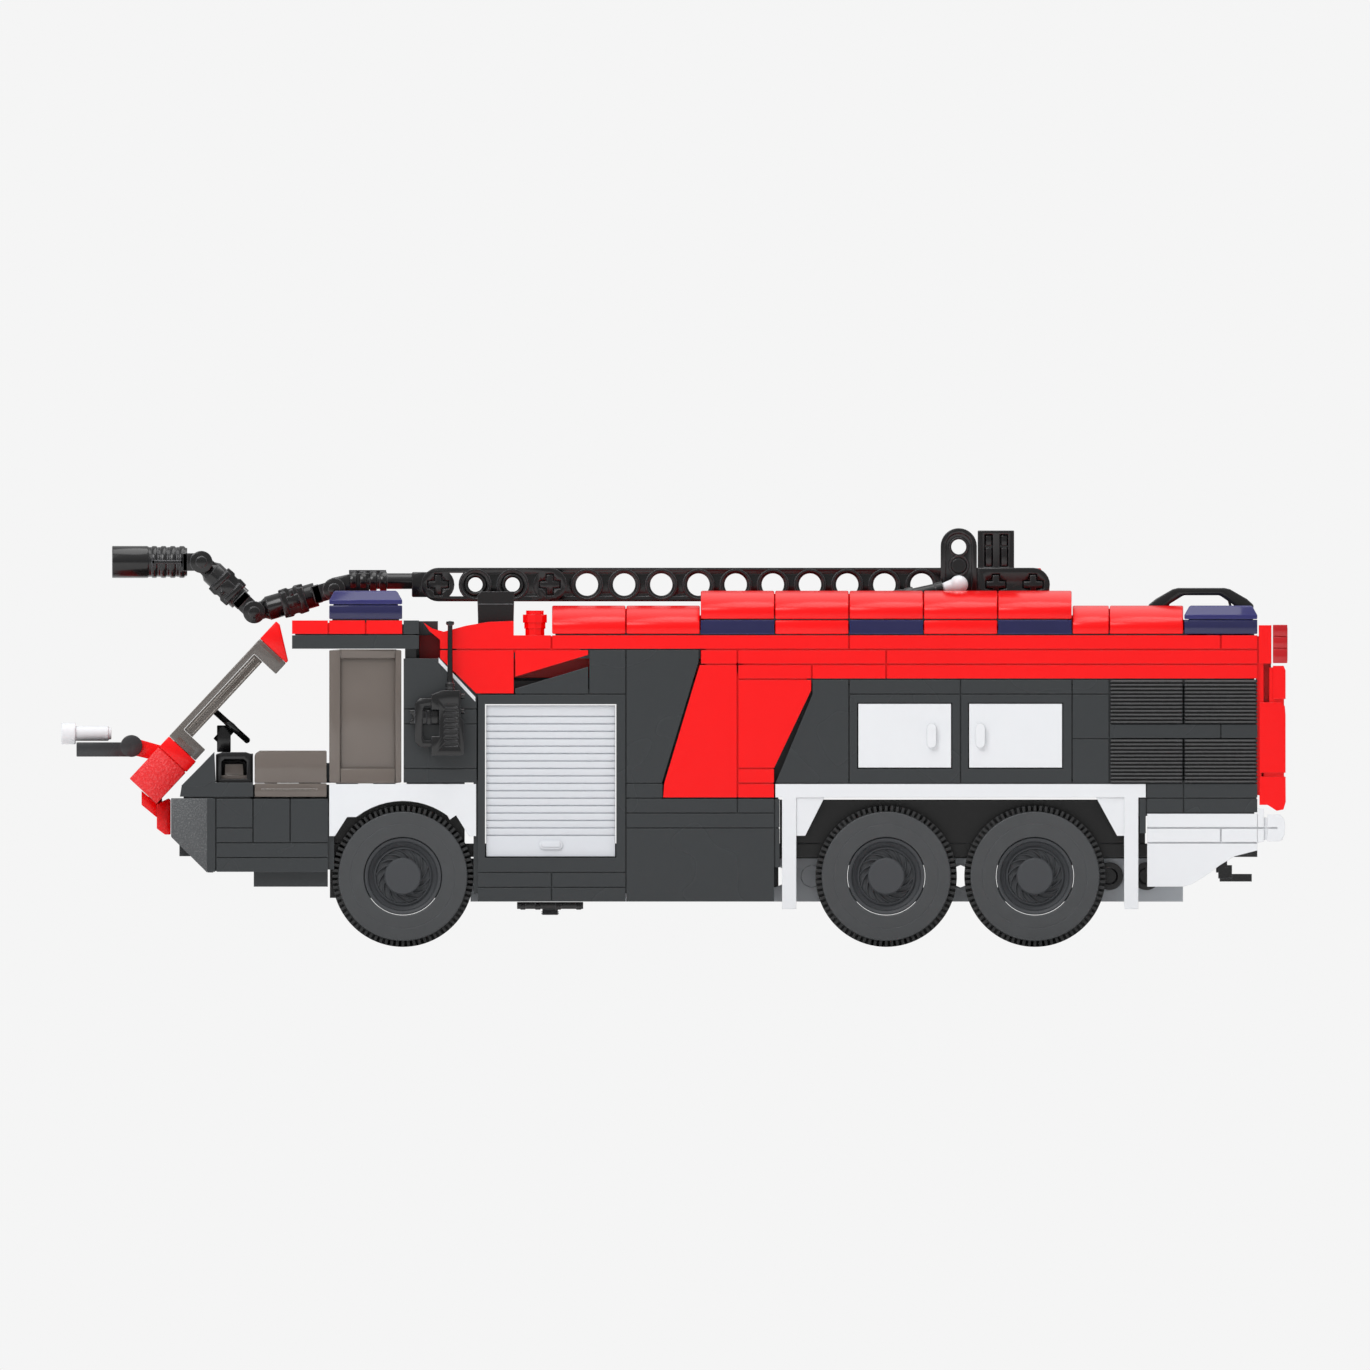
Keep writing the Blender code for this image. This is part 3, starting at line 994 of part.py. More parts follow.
def cab_shell():
    """Cab floor, rear wall with its side panels, the roof plate and the dashboard."""
    panels = both(grid_plates(CAB_PANEL_SHARES, across(INNER_SHARE) - SEAM * 2, across(HALF_SHARE) - SEAM / 2))
    dash = joined(both([grid_box(DASH_SHARES, 0.0)]))
    seats = joined(both([grid_box(SEAT_BLOCK_SHARES, 0.0)]))
    adds = grid_boxes(CAB_SHELL_SHARES) + panels + grid_boxes(CAB_ROOF_SHARES, SEAM / 2) + [dash, seats]
    cuts = [joined(both([grid_box(CUP_SHARES, 0.0)]))] + joint_lines(CAB_LINE_SHARES)
    place("cab_shell", "dark", fused(grid_box(CAB_FLOOR_SHARES), adds, cuts))


# Steering wheel: column block, foot and lean of the stem, and sizes of the wheel
COLUMN_SHARES = (27.63, 28.0, 1.3, 1.9, 13.1, 14.6)
STEM_FOOT_SHARES = (27.83, 1.6, 14.2)
STEM_LEAN = math.radians(42)
STEM_RADIUS = 0.0012
STEM_REACH = 0.0019
STEER_RADIUS = 0.0051
STEER_RIM = 0.0009
STEER_THICKNESS = 0.0016


def steering_wheel():
    """Column standing on the dashboard, with the leaning wheel on it."""
    k, j, n = STEM_FOOT_SHARES
    start = Vector((along(k), across(j), up(n)))
    lean_way = Vector((-math.sin(STEM_LEAN), 0, math.cos(STEM_LEAN)))
    hub = start + lean_way * STEM_REACH
    top = hub + lean_way * STEER_THICKNESS
    stem = rod(start - lean_way * STEM_REACH, hub + lean_way * STEER_THICKNESS / 2, STEM_RADIUS, sides=10)
    wheel = rod(hub, top, STEER_RADIUS, sides=18)
    dish = rod(hub + lean_way * STEER_THICKNESS / 2, top + lean_way * OVERRUN, STEER_RADIUS - STEER_RIM,
               sides=18)
    place("steering_wheel", "black", fused(grid_box(COLUMN_SHARES, 0.0), [stem, wheel], [dish]))


ROOF_TILE_SHARES = (23.0, 26.0, -4.0, 4.0, 21.0, 22.0)
# Joint lines of the tiles: along, and across
ROOF_TILE_LINE_SHARES = (24.0, 25.0)
ROOF_TILE_ROW_SHARES = (-2.0, 0.0, 2.0)


def cab_roof_tiles():
    """Red tiles on the roof plate, with the joints between them."""
    slab = grid_box(ROOF_TILE_SHARES, SEAM / 2)
    k_from, k_to, j_from, j_to, n_from, n_to = ROOF_TILE_SHARES
    low = up(n_to) - SEAM / 2 - GROOVE
    cuts = [box(along(k) - SEAM / 2, along(k) + SEAM / 2, across(j_from) - OVERRUN, across(j_to) + OVERRUN,
                low, up(n_to) + OVERRUN) for k in ROOF_TILE_LINE_SHARES]
    cuts += [box(along(k_from) - OVERRUN, along(k_to) + OVERRUN, across(j) - SEAM / 2, across(j) + SEAM / 2,
                 low, up(n_to) + OVERRUN) for j in ROOF_TILE_ROW_SHARES]
    face = across(HALF_SHARE) - SEAM / 2
    ends = both([box(along(k) - SEAM / 2, along(k) + SEAM / 2, face - GROOVE, face + OVERRUN,
                     up(n_from) - OVERRUN, up(n_to) + OVERRUN) for k in ROOF_TILE_LINE_SHARES])
    place("cab_roof_tiles", "red", fused(slab, (), cuts + [joined(ends)]))


# Smoked side panel and the sill panel ahead of it: along from, along to, up from, up to
GLASS_PANEL_SHARES = (23.0, 25.0, 11.0, 20.0)
GLASS_SILL_SHARES = (24.9, 27.03, 10.1, 13.2)
GLASS_PANEL_HEAD = 0.0018
GLASS_PANEL_FOOT = 0.0032
GLASS_UNDER_SHARES = (24.5, 25.0, 9.0, 11.0)


def side_glass():
    """Smoked side panel and the low sill panel in front of it, moulded in one."""
    y_from = across(INNER_SHARE) + SEAM
    y_to = across(HALF_SHARE) - SEAM / 2
    back = y_from - OVERRUN
    glass = y_to - SCREEN_GLASS
    k_from, k_to, n_from, n_to = GLASS_PANEL_SHARES
    panel = box(along(k_from) + SEAM, along(k_to) - SEAM / 2, y_from, y_to,
                up(n_from) + SEAM / 2, up(n_to) - SEAM / 2)
    hollow = box(along(k_from) + MOULD_WALL, along(k_to) - MOULD_WALL, back, glass,
                 up(n_from) + GLASS_PANEL_FOOT, up(n_to) - GLASS_PANEL_HEAD)
    k_start, k_end, n_low, n_high = GLASS_SILL_SHARES
    sill = box(along(k_start), along(k_end) - SEAM / 2, y_from, y_to, up(n_low), up(n_high))
    sill_hollow = box(along(k_to) + SEAM, along(k_end) - MOULD_WALL, back, glass,
                      up(n_from), up(n_high) + OVERRUN)
    k_low, k_high, n_under, n_over = GLASS_UNDER_SHARES
    under = box(along(k_low), along(k_high) + SEAM / 2, back, y_to + OVERRUN,
                up(n_under), up(n_over) + SEAM / 2)
    mesh = fused(panel, [sill], [hollow, sill_hollow, under])
    place("side_glass_left", "smoke", mesh.copy())
    place("side_glass_right", "smoke", mirrored(mesh))


# Hand radio on the cab's side, outlines in studs along and plates up
RADIO_BODY_SHARES = ((22.23, 12.86), (22.23, 14.18), (22.02, 14.18), (22.02, 15.96), (22.23, 15.96),
                     (22.23, 16.9), (22.13, 17.26), (21.46, 17.26), (21.44, 15.4), (21.36, 15.2),
                     (21.36, 12.86))
RADIO_HANDLE_SHARES = ((22.0, 13.44), (22.55, 13.44), (22.68, 13.8), (22.68, 16.4), (22.55, 16.74),
                       (22.0, 16.74), (22.0, 16.2), (22.40, 16.2), (22.46, 16.0), (22.46, 14.1), (22.40, 13.9),
                       (22.0, 13.9))
RADIO_CLIP_SHARES = ((21.9, 15.0), (22.82, 15.0), (22.82, 15.25), (22.74, 15.35), (22.74, 15.6),
                     (22.82, 15.68), (22.82, 15.93), (21.9, 15.93))
RADIO_BACK_SHARE = 21.44
RADIO_DEPTHS = {"body": (0.0006, 0.0034), "handle": (0.0006, 0.0027), "clip": (0.0003, 0.0023)}
RADIO_SLOTS = 8
# Louvres: along from, along to, middle of the lowest, pitch and height, in plates
RADIO_SLOT_SHARES = (21.50, 21.90, 13.60, 0.376, 0.19)
RADIO_SLOT_DEPTH = 0.0004
# Round bits: along, up from, up to, radius
AERIAL_SHARES = ((21.73, 17.0, 17.77, 0.0009), (21.73, 17.5, 21.9, 0.0006), (21.73, 21.55, 21.9, 0.0009))
RADIO_KNOB_SHARES = (15.86, 16.86)
RADIO_KNOB_SIZE = (0.0006, 0.0014)


def radio():
    """Hand radio with handle, louvres and aerial, hung on the cab's side by its clip."""
    face = across(HALF_SHARE)
    solids = {}
    outlines = {"body": RADIO_BODY_SHARES, "handle": RADIO_HANDLE_SHARES, "clip": RADIO_CLIP_SHARES}
    for part, shares in outlines.items():
        y_from, y_to = RADIO_DEPTHS[part]
        solids[part] = prism(outline_of(shares), face + y_from, face + y_to)
    middle = face + sum(RADIO_DEPTHS["body"]) / 2
    rods = [rod((along(k), middle, up(n_from)), (along(k), middle, up(n_to)), radius, sides=8)
            for k, n_from, n_to, radius in AERIAL_SHARES]
    radius, reach = RADIO_KNOB_SIZE
    back = along(RADIO_BACK_SHARE)
    knobs = [rod((back - reach / 2, middle, up(n)), (back + reach / 2, middle, up(n)), radius, sides=8)
             for n in RADIO_KNOB_SHARES]
    k_from, k_to, lowest, pitch, height = RADIO_SLOT_SHARES
    front = face + RADIO_DEPTHS["body"][1]
    slots = [box(along(k_from), along(k_to), front - RADIO_SLOT_DEPTH, front + OVERRUN,
                 up(lowest + pitch * index - height / 2), up(lowest + pitch * index + height / 2))
             for index in range(RADIO_SLOTS)]
    mesh = fused(solids["body"], [solids["handle"], solids["clip"]] + rods + [joined(knobs)], [joined(slots)])
    place("radio_left", "black", mesh.copy())
    place("radio_right", "black", mirrored(mesh))


CRADLE_SHARES = (20.0, 21.0, -2.0, 2.0, 21.0, 23.1)
CRADLE_CHEEK_SHARES = ((20.02, 22.0), (20.98, 22.0), (21.0, 23.6), (20.9, 23.9), (20.0, 23.9))
CRADLE_ACROSS_SHARES = (1.55, 1.96)


def boom_cradle():
    """Saddle that carries the front of the boom."""
    y_from, y_to = (across(share) for share in CRADLE_ACROSS_SHARES)
    cheeks = both([prism(outline_of(CRADLE_CHEEK_SHARES), y_from, y_to)])
    place("boom_cradle", "black", fused(grid_box(CRADLE_SHARES, SEAM / 2), cheeks))


# Boom. Holes left out of the beam, since pins or the tower close them
BOOM_CLOSED_HOLES = (2, 13, 14)
BOOM_HOLE_SIDES = 10
HEAD_SHARES = (6.56, 7.54)
HEAD_TOP_SHARE = 28.0
HEAD_SLOT_SHARES = ((6.72, 6.92), (7.16, 7.36))
HEAD_SLOT_DEPTH = 0.0014
HEAD_SLOT_FOOT_SHARE = 25.6
REAR_PIN_SHARE = 7.05
FRONT_BEAM_SHARES = (BOOM_FIRST_SHARE - 2, BOOM_FIRST_SHARE + 1)
HINGE_BEAM_SHARE = BOOM_PIVOT_SHARE + 1
TOWER_TOP_SHARE = 28.16
TOWER_RADIUS = 0.0039
TOWER_HOLE_SHARE = 26.9
TOWER_HOLE_RADIUS = 0.00155
SOCKET_SHARES = (22.05, 22.76)
SOCKET_HALF = 0.0027
BRIDGE_HALF = 0.0022
TUBE_SHARES = (22.7, 24.1)
TONGUE_SHARE = 23.9
# Jointed pipe at the boom's front: hinge places in studs along and plates up
ARM_SHARES = ((24.85, 24.05), (27.0, 22.5), (28.42, 25.88))
ARM_LEVEL = 0.0787
ARM_TUBE_RADIUS = 0.0018
ARM_STEM_RADIUS = 0.0020
ARM_PIPE_RADIUS = 0.0022
ARM_KNUCKLE_RADIUS = 0.0024
ARM_YOKE = 0.0034
ARM_CHEEK = 0.0018
ARM_CLAMP = (0.0055, 0.0064, 0.0064)
ARM_CLAMP_WAIST = 0.0007
# Ribbed sleeve of the tube: along from, along to, radius, ribs
SLEEVE_SHARES = (23.38, 24.4)
SLEEVE_RADIUS = 0.0021
SLEEVE_RIBS = 4


def boom_beams(near, outer, thin):
    """Side beams at the front and rear of the boom, with their pins and holes."""
    half = BOOM_DEPTH / 2
    rear_end, front_end = (along(share) for share in FRONT_BEAM_SHARES)
    front = capsule(rear_end, front_end, BOOM_LEVEL, half, near, outer)
    knee = along(HINGE_BEAM_SHARE)
    hinge = capsule(along(BOOM_PIVOT_SHARE), knee, BOOM_LEVEL, half, near, thin)
    back = box(knee, along(HEAD_SHARES[1]), near, thin, BOOM_LEVEL - half, BOOM_LEVEL + half)
    level = BOOM_LEVEL / PLATE
    pins = [cross_rod((share, level), -outer - SEAM, outer + SEAM, PIN_HOLE_RADIUS)
            for share in FRONT_BEAM_SHARES]
    pins.append(cross_rod((REAR_PIN_SHARE, level), -thin - SEAM, thin + SEAM, PIN_HOLE_RADIUS))
    pins.append(cross_rod((BOOM_PIVOT_SHARE, level), -thin - SEAM, thin + SEAM, AXLE_RADIUS))
    return both([front, hinge]) + [joined(both([back]))] + [joined(pins[:3]), pins[3]]


def boom():
    """Holed beam with the side beams at its front end, the tower and the hinge beams at its rear."""
    half = BOOM_DEPTH / 2
    level = BOOM_LEVEL / PLATE
    last = BOOM_FIRST_SHARE - (BOOM_HOLES - 1)
    near = BOOM_WIDTH / 2 + SEAM / 2
    outer = near + SIDE_BEAM_WIDTH / 2
    thin = near + THIN_BEAM_WIDTH
    beam = capsule(along(last), along(BOOM_FIRST_SHARE), BOOM_LEVEL, half, -BOOM_WIDTH / 2, BOOM_WIDTH / 2)
    holes = [cross_rod((BOOM_FIRST_SHARE - index, level), -BOOM_WIDTH, BOOM_WIDTH, PIN_HOLE_RADIUS,
                       sides=BOOM_HOLE_SIDES) for index in range(BOOM_HOLES) if index not in BOOM_CLOSED_HOLES]
    tower_x = along(LIFT_BALL_SHARE)
    top = up(TOWER_TOP_SHARE)
    foot = BOOM_LEVEL - half
    tower = capsule_up(tower_x, (top + foot) / 2, TOWER_RADIUS, top - foot, -thin, thin, sides=8)
    tower_hole = cross_rod((LIFT_BALL_SHARE, TOWER_HOLE_SHARE), -STUD, STUD, TOWER_HOLE_RADIUS)
    head = box(along(HEAD_SHARES[0]), along(HEAD_SHARES[1]) + SEAM, -thin + SEAM, thin - SEAM,
               BOOM_LEVEL + half - SEAM, up(HEAD_TOP_SHARE))
    slots = both([box(along(k_from), along(k_to), thin - SEAM - HEAD_SLOT_DEPTH, thin + OVERRUN,
                      up(HEAD_SLOT_FOOT_SHARE), up(HEAD_TOP_SHARE) + OVERRUN)
                  for k_from, k_to in HEAD_SLOT_SHARES])
    necks = both([cross_rod((LIFT_BALL_SHARE, level), thin - SEAM, LIFT_OUTSET - LIFT_BALL_RADIUS - SEAM,
                            LIFT_PIN_RADIUS, sides=10)])
    lug, socket_end = (along(share) for share in SOCKET_SHARES)
    socket = box(lug, socket_end, -near + SEAM, near - SEAM, BOOM_LEVEL - SOCKET_HALF, BOOM_LEVEL + SOCKET_HALF)
    bridge = box(lug - SOCKET_HALF, lug + SOCKET_HALF, -near - SEAM, near + SEAM, BOOM_LEVEL - BRIDGE_HALF,
                 BOOM_LEVEL + BRIDGE_HALF)
    hinge = ARM_SHARES[0]
    tube = rod((along(TUBE_SHARES[0]), 0, ARM_LEVEL), (along(TUBE_SHARES[1]), 0, ARM_LEVEL), ARM_TUBE_RADIUS)
    knuckle = cross_rod(hinge, -ARM_YOKE / 2, ARM_YOKE / 2, ARM_KNUCKLE_RADIUS)
    tongue = bar_between(Vector((along(TONGUE_SHARE), 0, ARM_LEVEL)),
                         Vector((along(hinge[0]), 0, up(hinge[1]))), ARM_TUBE_RADIUS,
                         -ARM_YOKE / 2, ARM_YOKE / 2)
    k_from, k_to = SLEEVE_SHARES
    pitch = (along(k_to) - along(k_from)) / SLEEVE_RIBS
    ribs = []
    for index in range(SLEEVE_RIBS - 1):
        rib = along(k_from) + pitch * index
        ribs.append(rod((rib, 0, ARM_LEVEL), (rib + pitch / 2, 0, ARM_LEVEL), SLEEVE_RADIUS, sides=12))
    adds = boom_beams(near, outer, thin) + [tower, head] + necks + [bridge, socket, tube, tongue, knuckle]
    adds.append(joined(ribs))
    mesh = fused(beam, adds, [joined(holes), tower_hole, joined(slots)])
    place("boom", "black", mesh, axis=(along(BOOM_PIVOT_SHARE), 0, BOOM_LEVEL))


def bar_between(start, end, radius, y_from, y_to):
    """Flat bar between two points of the truck's middle plane."""
    line = (end - start).normalized()
    side = Vector((-line.z, 0, line.x)) * radius
    corners = (start + side, end + side, end - side, start - side)
    return prism([(p.x, p.z) for p in corners], min(y_from, y_to), max(y_from, y_to))


def fork(start, line):
    """Cheeks on both sides of a hinge, drawn out along the pipe."""
    inner = ARM_YOKE / 2 + SEAM
    end = start + line * (ARM_KNUCKLE_RADIUS + ARM_CHEEK)
    cheeks = []
    for sign in (-1, 1):
        near, far = sign * inner, sign * (inner + ARM_CHEEK)
        cheeks.append(rod((start.x, near, start.z), (start.x, far, start.z), ARM_KNUCKLE_RADIUS, sides=12))
        ease = sign * SEAM / 4
        cheeks.append(bar_between(start, end, ARM_TUBE_RADIUS, near + ease, far - ease))
    return cheeks


def arm_link(name, start_share, end_share):
    """One length of the pipe: a fork behind, a waisted clamp and a tongue in the hinge ahead."""
    start = Vector((along(start_share[0]), 0, up(start_share[1])))
    end = Vector((along(end_share[0]), 0, up(end_share[1])))
    line = (end - start).normalized()
    clear = ARM_KNUCKLE_RADIUS + SEAM * 2
    half = ARM_YOKE / 2
    bridge = bar_between(start + line * clear, start + line * (clear + ARM_CHEEK), ARM_STEM_RADIUS,
                         -half - ARM_CHEEK, half + ARM_CHEEK)
    stem = rod(start + line * (clear + SEAM), end - line * clear, ARM_PIPE_RADIUS, sides=12)
    neck = bar_between(end - line * (clear + ARM_CHEEK), end, ARM_STEM_RADIUS, -half, half)
    tongue = cross_rod(end_share, -half + SEAM / 4, half - SEAM / 4, ARM_KNUCKLE_RADIUS)
    middle = (start + end) / 2
    length, height, width = ARM_CLAMP
    clamp = bar_between(middle - line * length / 2, middle + line * length / 2, height / 2,
                        -width / 2, width / 2)
    side = Vector((-line.z, 0, line.x))
    waists = []
    for sign in (-1, 1):
        centre = middle + side * sign * height / 2
        waists.append(bar_between(centre - line * length / 6, centre + line * length / 6, ARM_CLAMP_WAIST,
                                  -width, width))
    adds = fork(start, line) + [stem, neck, tongue, clamp]
    place(name, "black", fused(bridge, adds, [joined(waists)]), axis=start)


# Spout at the pipe's end: its cone, ribbed part and tip, in studs along
NOZZLE_SHARES = (28.85, 29.84, 30.82)
NOZZLE_RADIUS = 0.00345
NOZZLE_WAIST_RADIUS = 0.0031
NOZZLE_BORE_RADIUS = 0.0024
NOZZLE_RIBS = 4
NOZZLE_SIDES = 12


def nozzle():
    """Ribbed spout at the end of the pipe."""
    start = Vector((along(ARM_SHARES[2][0]), 0, up(ARM_SHARES[2][1])))
    level = start.z
    cone_end, ribbed_end, tip = (along(share) for share in NOZZLE_SHARES)
    neck = start.x + ARM_KNUCKLE_RADIUS + SEAM * 2
    cone = rod((neck, 0, level), (cone_end, 0, level), ARM_KNUCKLE_RADIUS, NOZZLE_SIDES,
               NOZZLE_WAIST_RADIUS)
    core = rod((cone_end - SEAM, 0, level), (ribbed_end, 0, level), NOZZLE_WAIST_RADIUS, NOZZLE_SIDES)
    tube = rod((ribbed_end - SEAM, 0, level), (tip, 0, level), NOZZLE_RADIUS, NOZZLE_SIDES)
    pitch = (ribbed_end - cone_end) / NOZZLE_RIBS
    ribs = [rod((cone_end + pitch * index + SEAM, 0, level), (cone_end + pitch * index + pitch / 2, 0, level),
                NOZZLE_RADIUS, NOZZLE_SIDES) for index in range(NOZZLE_RIBS)]
    mouth = rod((tip - STUD, 0, level), (tip + OVERRUN, 0, level), NOZZLE_BORE_RADIUS, NOZZLE_SIDES)
    bridge = box(neck, neck + ARM_CHEEK, -ARM_YOKE / 2 - ARM_CHEEK, ARM_YOKE / 2 + ARM_CHEEK,
                 level - ARM_STEM_RADIUS, level + ARM_STEM_RADIUS)
    adds = [tube, cone, bridge] + fork(start, Vector((1, 0, 0))) + [joined(ribs)]
    place("nozzle", "black", fused(core, adds, [mouth]), axis=start)


LIFT_BORE_START = 0.0050


def lift_cylinders():
    """Pair of cylinders that raise the boom: barrels on one cross pin, a ball-ended rod in each."""
    foot = Vector((along(LIFT_FOOT_SHARE), 0, LIFT_FOOT_LEVEL))
    head = Vector((along(LIFT_BALL_SHARE), 0, BOOM_LEVEL))
    line = (head - foot).normalized()
    side = Vector((0, LIFT_OUTSET, 0))
    pin = rod(foot - side, foot + side, LIFT_PIN_RADIUS, sides=12)
    barrels = []
    bores = []
    for base in (foot - side, foot + side):
        mouth = base + line * LIFT_BARREL_LENGTH
        barrels.append(rod(base - line * LIFT_BARREL_TAIL, mouth, LIFT_BARREL_RADIUS))
        bores.append(rod(base + line * (LIFT_BORE_START - SEAM * 2), mouth + line * OVERRUN,
                         LIFT_ROD_RADIUS + SEAM))
    place("lift_barrels", "black", fused(pin, [joined(barrels)], [joined(bores)]), axis=foot)
    base = foot + side
    eye = head + side
    shaft = rod(base + line * LIFT_BORE_START, eye, LIFT_ROD_RADIUS, sides=12)
    mesh = fused(shaft, [ball(eye, LIFT_BALL_RADIUS)])
    place("lift_rod_left", "grey", mesh.copy(), axis=base)
    place("lift_rod_right", "grey", mirrored(mesh), axis=base - side * 2)


TYRE_SIDES = 32
HUB_SIDES = 16


def wheels():
    """Three axles, each turning as one with its two wheels."""
    face = across(HALF_SHARE) - WHEEL_OUTSET
    back = face - TYRE_WIDTH
    tyre = ((RIM_RADIUS, back), (TYRE_FACE_RADIUS, back), (WHEEL_RADIUS, back + TYRE_SHOULDER),
            (WHEEL_RADIUS, face - TYRE_SHOULDER), (TYRE_FACE_RADIUS, face), (RIM_RADIUS, face))
    rim = RIM_RADIUS - SEAM
    dish = face - RIM_DISH
    inside = back + TYRE_SHOULDER * 3
    hub = ((rim, back + TYRE_SHOULDER), (rim, face - SEAM), (RIM_INNER_RADIUS, face - SEAM),
           (HUB_DISC_RADIUS, dish), (HUB_CAP_RADIUS, dish), (HUB_CAP_RADIUS, dish + HUB_CAP_RISE),
           (AXLE_RADIUS, dish + HUB_CAP_RISE), (AXLE_RADIUS, inside), (rim - TYRE_SHOULDER, inside),
           (rim - TYRE_SHOULDER, back + TYRE_SHOULDER))
    axle_end = dish + HUB_CAP_RISE / 2
    for name, share in AXLE_SHARES.items():
        x = along(share)
        axis = (x, 0, WHEEL_RADIUS)
        left = turned(tyre, x, WHEEL_RADIUS, TYRE_SIDES)
        place("tyre_" + name + "_left", "rubber", left.copy(), axis=axis, smooth=True)
        place("tyre_" + name + "_right", "rubber", mirrored(left), axis=axis, smooth=True)
        axle = rod((x, -axle_end, WHEEL_RADIUS), (x, axle_end, WHEEL_RADIUS), AXLE_RADIUS + SEAM / 4, sides=12)
        mesh = fused(axle, both([turned(hub, x, WHEEL_RADIUS, HUB_SIDES)]))
        place("axle_" + name, "hub", mesh, axis=axis, smooth=True)


def build():
    clear_scene()
    chassis_beams()
    chassis_deck()
    mid_body()
    rear_body()
    cupboards()
    cupboard_doors()
    shutter_bay()
    shutters()
    upper_body()
    roof_slopes()
    side_lamps()
    for name in BEACONS:
        beacon(name)
    roof_rail()
    rear_panel()
    tail_lamps()
    rear_box()
    rear_fenders()
    front_fenders()
    cab_front()
    cab_shell()
    cab_roof_tiles()
    windscreen()
    screen_cap()
    bumper_block()
    turret()
    steering_wheel()
    side_glass()
    radio()
    boom_cradle()
    boom()
    arm_link("arm_rear", ARM_SHARES[0], ARM_SHARES[1])
    arm_link("arm_front", ARM_SHARES[1], ARM_SHARES[2])
    nozzle()
    lift_cylinders()
    wheels()
    bpy.context.view_layer.update()


build()
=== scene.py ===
"""Toy brick-built airport fire truck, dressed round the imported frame."""
import json
import math

import bmesh
import bpy
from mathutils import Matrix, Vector


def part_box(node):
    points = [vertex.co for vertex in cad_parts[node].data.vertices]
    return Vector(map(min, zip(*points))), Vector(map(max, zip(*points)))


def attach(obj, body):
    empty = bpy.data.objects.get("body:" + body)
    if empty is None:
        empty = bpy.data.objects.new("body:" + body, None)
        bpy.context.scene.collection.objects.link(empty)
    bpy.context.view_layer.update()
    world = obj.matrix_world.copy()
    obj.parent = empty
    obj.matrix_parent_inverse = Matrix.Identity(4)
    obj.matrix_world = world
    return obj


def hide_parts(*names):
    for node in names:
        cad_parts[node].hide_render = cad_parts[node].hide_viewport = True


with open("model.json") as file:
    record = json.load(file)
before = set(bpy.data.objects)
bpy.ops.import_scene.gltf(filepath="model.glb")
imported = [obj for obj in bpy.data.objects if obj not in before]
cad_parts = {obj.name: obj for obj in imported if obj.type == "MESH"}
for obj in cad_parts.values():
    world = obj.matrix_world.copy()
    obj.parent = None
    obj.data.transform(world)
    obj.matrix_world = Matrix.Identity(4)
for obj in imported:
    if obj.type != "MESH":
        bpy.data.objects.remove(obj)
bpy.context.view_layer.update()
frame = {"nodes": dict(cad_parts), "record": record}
NODES = frame["nodes"]

# the brick grid in metres: one stud, one plate and the stud number at the middle of the truck
STUD = 0.008
PLATE = 0.0032
MID = 15.70
SEAM = 0.0003
STUD_RADIUS = 0.0024
STUD_HEIGHT = 0.0016

# the photograph's frame
PX_PER_M = 4647.5
FRAME_PX = 1370
MIDDLE_PX = 674.3
GROUND_PX = 946.9


def along(k):
    return (k - MID) * STUD


def up(n):
    return n * PLATE

# materials
def srgb(hex_code):
    """Linear colour of a six-digit code."""
    values = [int(hex_code[i:i + 2], 16) / 255 for i in (0, 2, 4)]
    return [v / 12.92 if v <= 0.04045 else ((v + 0.055) / 1.055) ** 2.4 for v in values]


def shade(colour, factor):
    return [min(1.0, c * factor) for c in colour]


class Nodes:
    """Short way to add and link the shader nodes of a material or world."""

    def __init__(self, owner):
        owner.use_nodes = True
        self.owner = owner
        self.tree = owner.node_tree

    def fill(self, node, inputs):
        """Sets a node's inputs to numbers or colours, or links them to sockets."""
        for key, value in inputs.items():
            if isinstance(value, bpy.types.NodeSocket):
                self.tree.links.new(value, node.inputs[key])
            else:
                node.inputs[key].default_value = value

    def add(self, kind, inputs=None, **settings):
        node = self.tree.nodes.new(kind)
        for key, value in settings.items():
            setattr(node, key, value)
        self.fill(node, inputs or {})
        return node

    def noise(self, scale, detail):
        coords = self.add("ShaderNodeTexCoord").outputs["Object"]
        inputs = {"Vector": coords, "Scale": scale, "Detail": detail}
        return self.add("ShaderNodeTexNoise", inputs).outputs["Fac"]

    def ranged(self, value, low, high, out_low, out_high):
        inputs = {"Value": value, "From Min": low, "From Max": high, "To Min": out_low, "To Max": out_high}
        return self.add("ShaderNodeMapRange", inputs).outputs["Result"]

    def mix(self, factor, a, b):
        a, b = ((*value, 1) if isinstance(value, list) else value for value in (a, b))
        node = self.add("ShaderNodeMix", {"A": a, "B": b, "Factor": factor}, data_type="RGBA")
        return node.outputs["Result"]

    def bump(self, height, distance, strength, normal):
        inputs = {"Height": height, "Distance": distance, "Strength": strength, "Normal": normal}
        return self.add("ShaderNodeBump", inputs).outputs["Normal"]

    def rounded(self, radius):
        """Normal softened over the edges, and how near an edge a point lies, from 0 to 1."""
        soft = self.add("ShaderNodeBevel", {"Radius": radius}, samples=6).outputs["Normal"]
        plain = self.add("ShaderNodeNewGeometry").outputs["Normal"]
        turn = self.add("ShaderNodeVectorMath", {0: soft, 1: plain}, operation="DOT_PRODUCT")
        return soft, self.ranged(turn.outputs["Value"], 0.98, 0.82, 0.0, 1.0)

    def dressed(self, **inputs):
        """The material, once its surface shader has these inputs; an underscore stands for a space."""
        self.fill(self.tree.nodes["Principled BSDF"], {key.replace("_", " "): v for key, v in inputs.items()})
        return self.owner


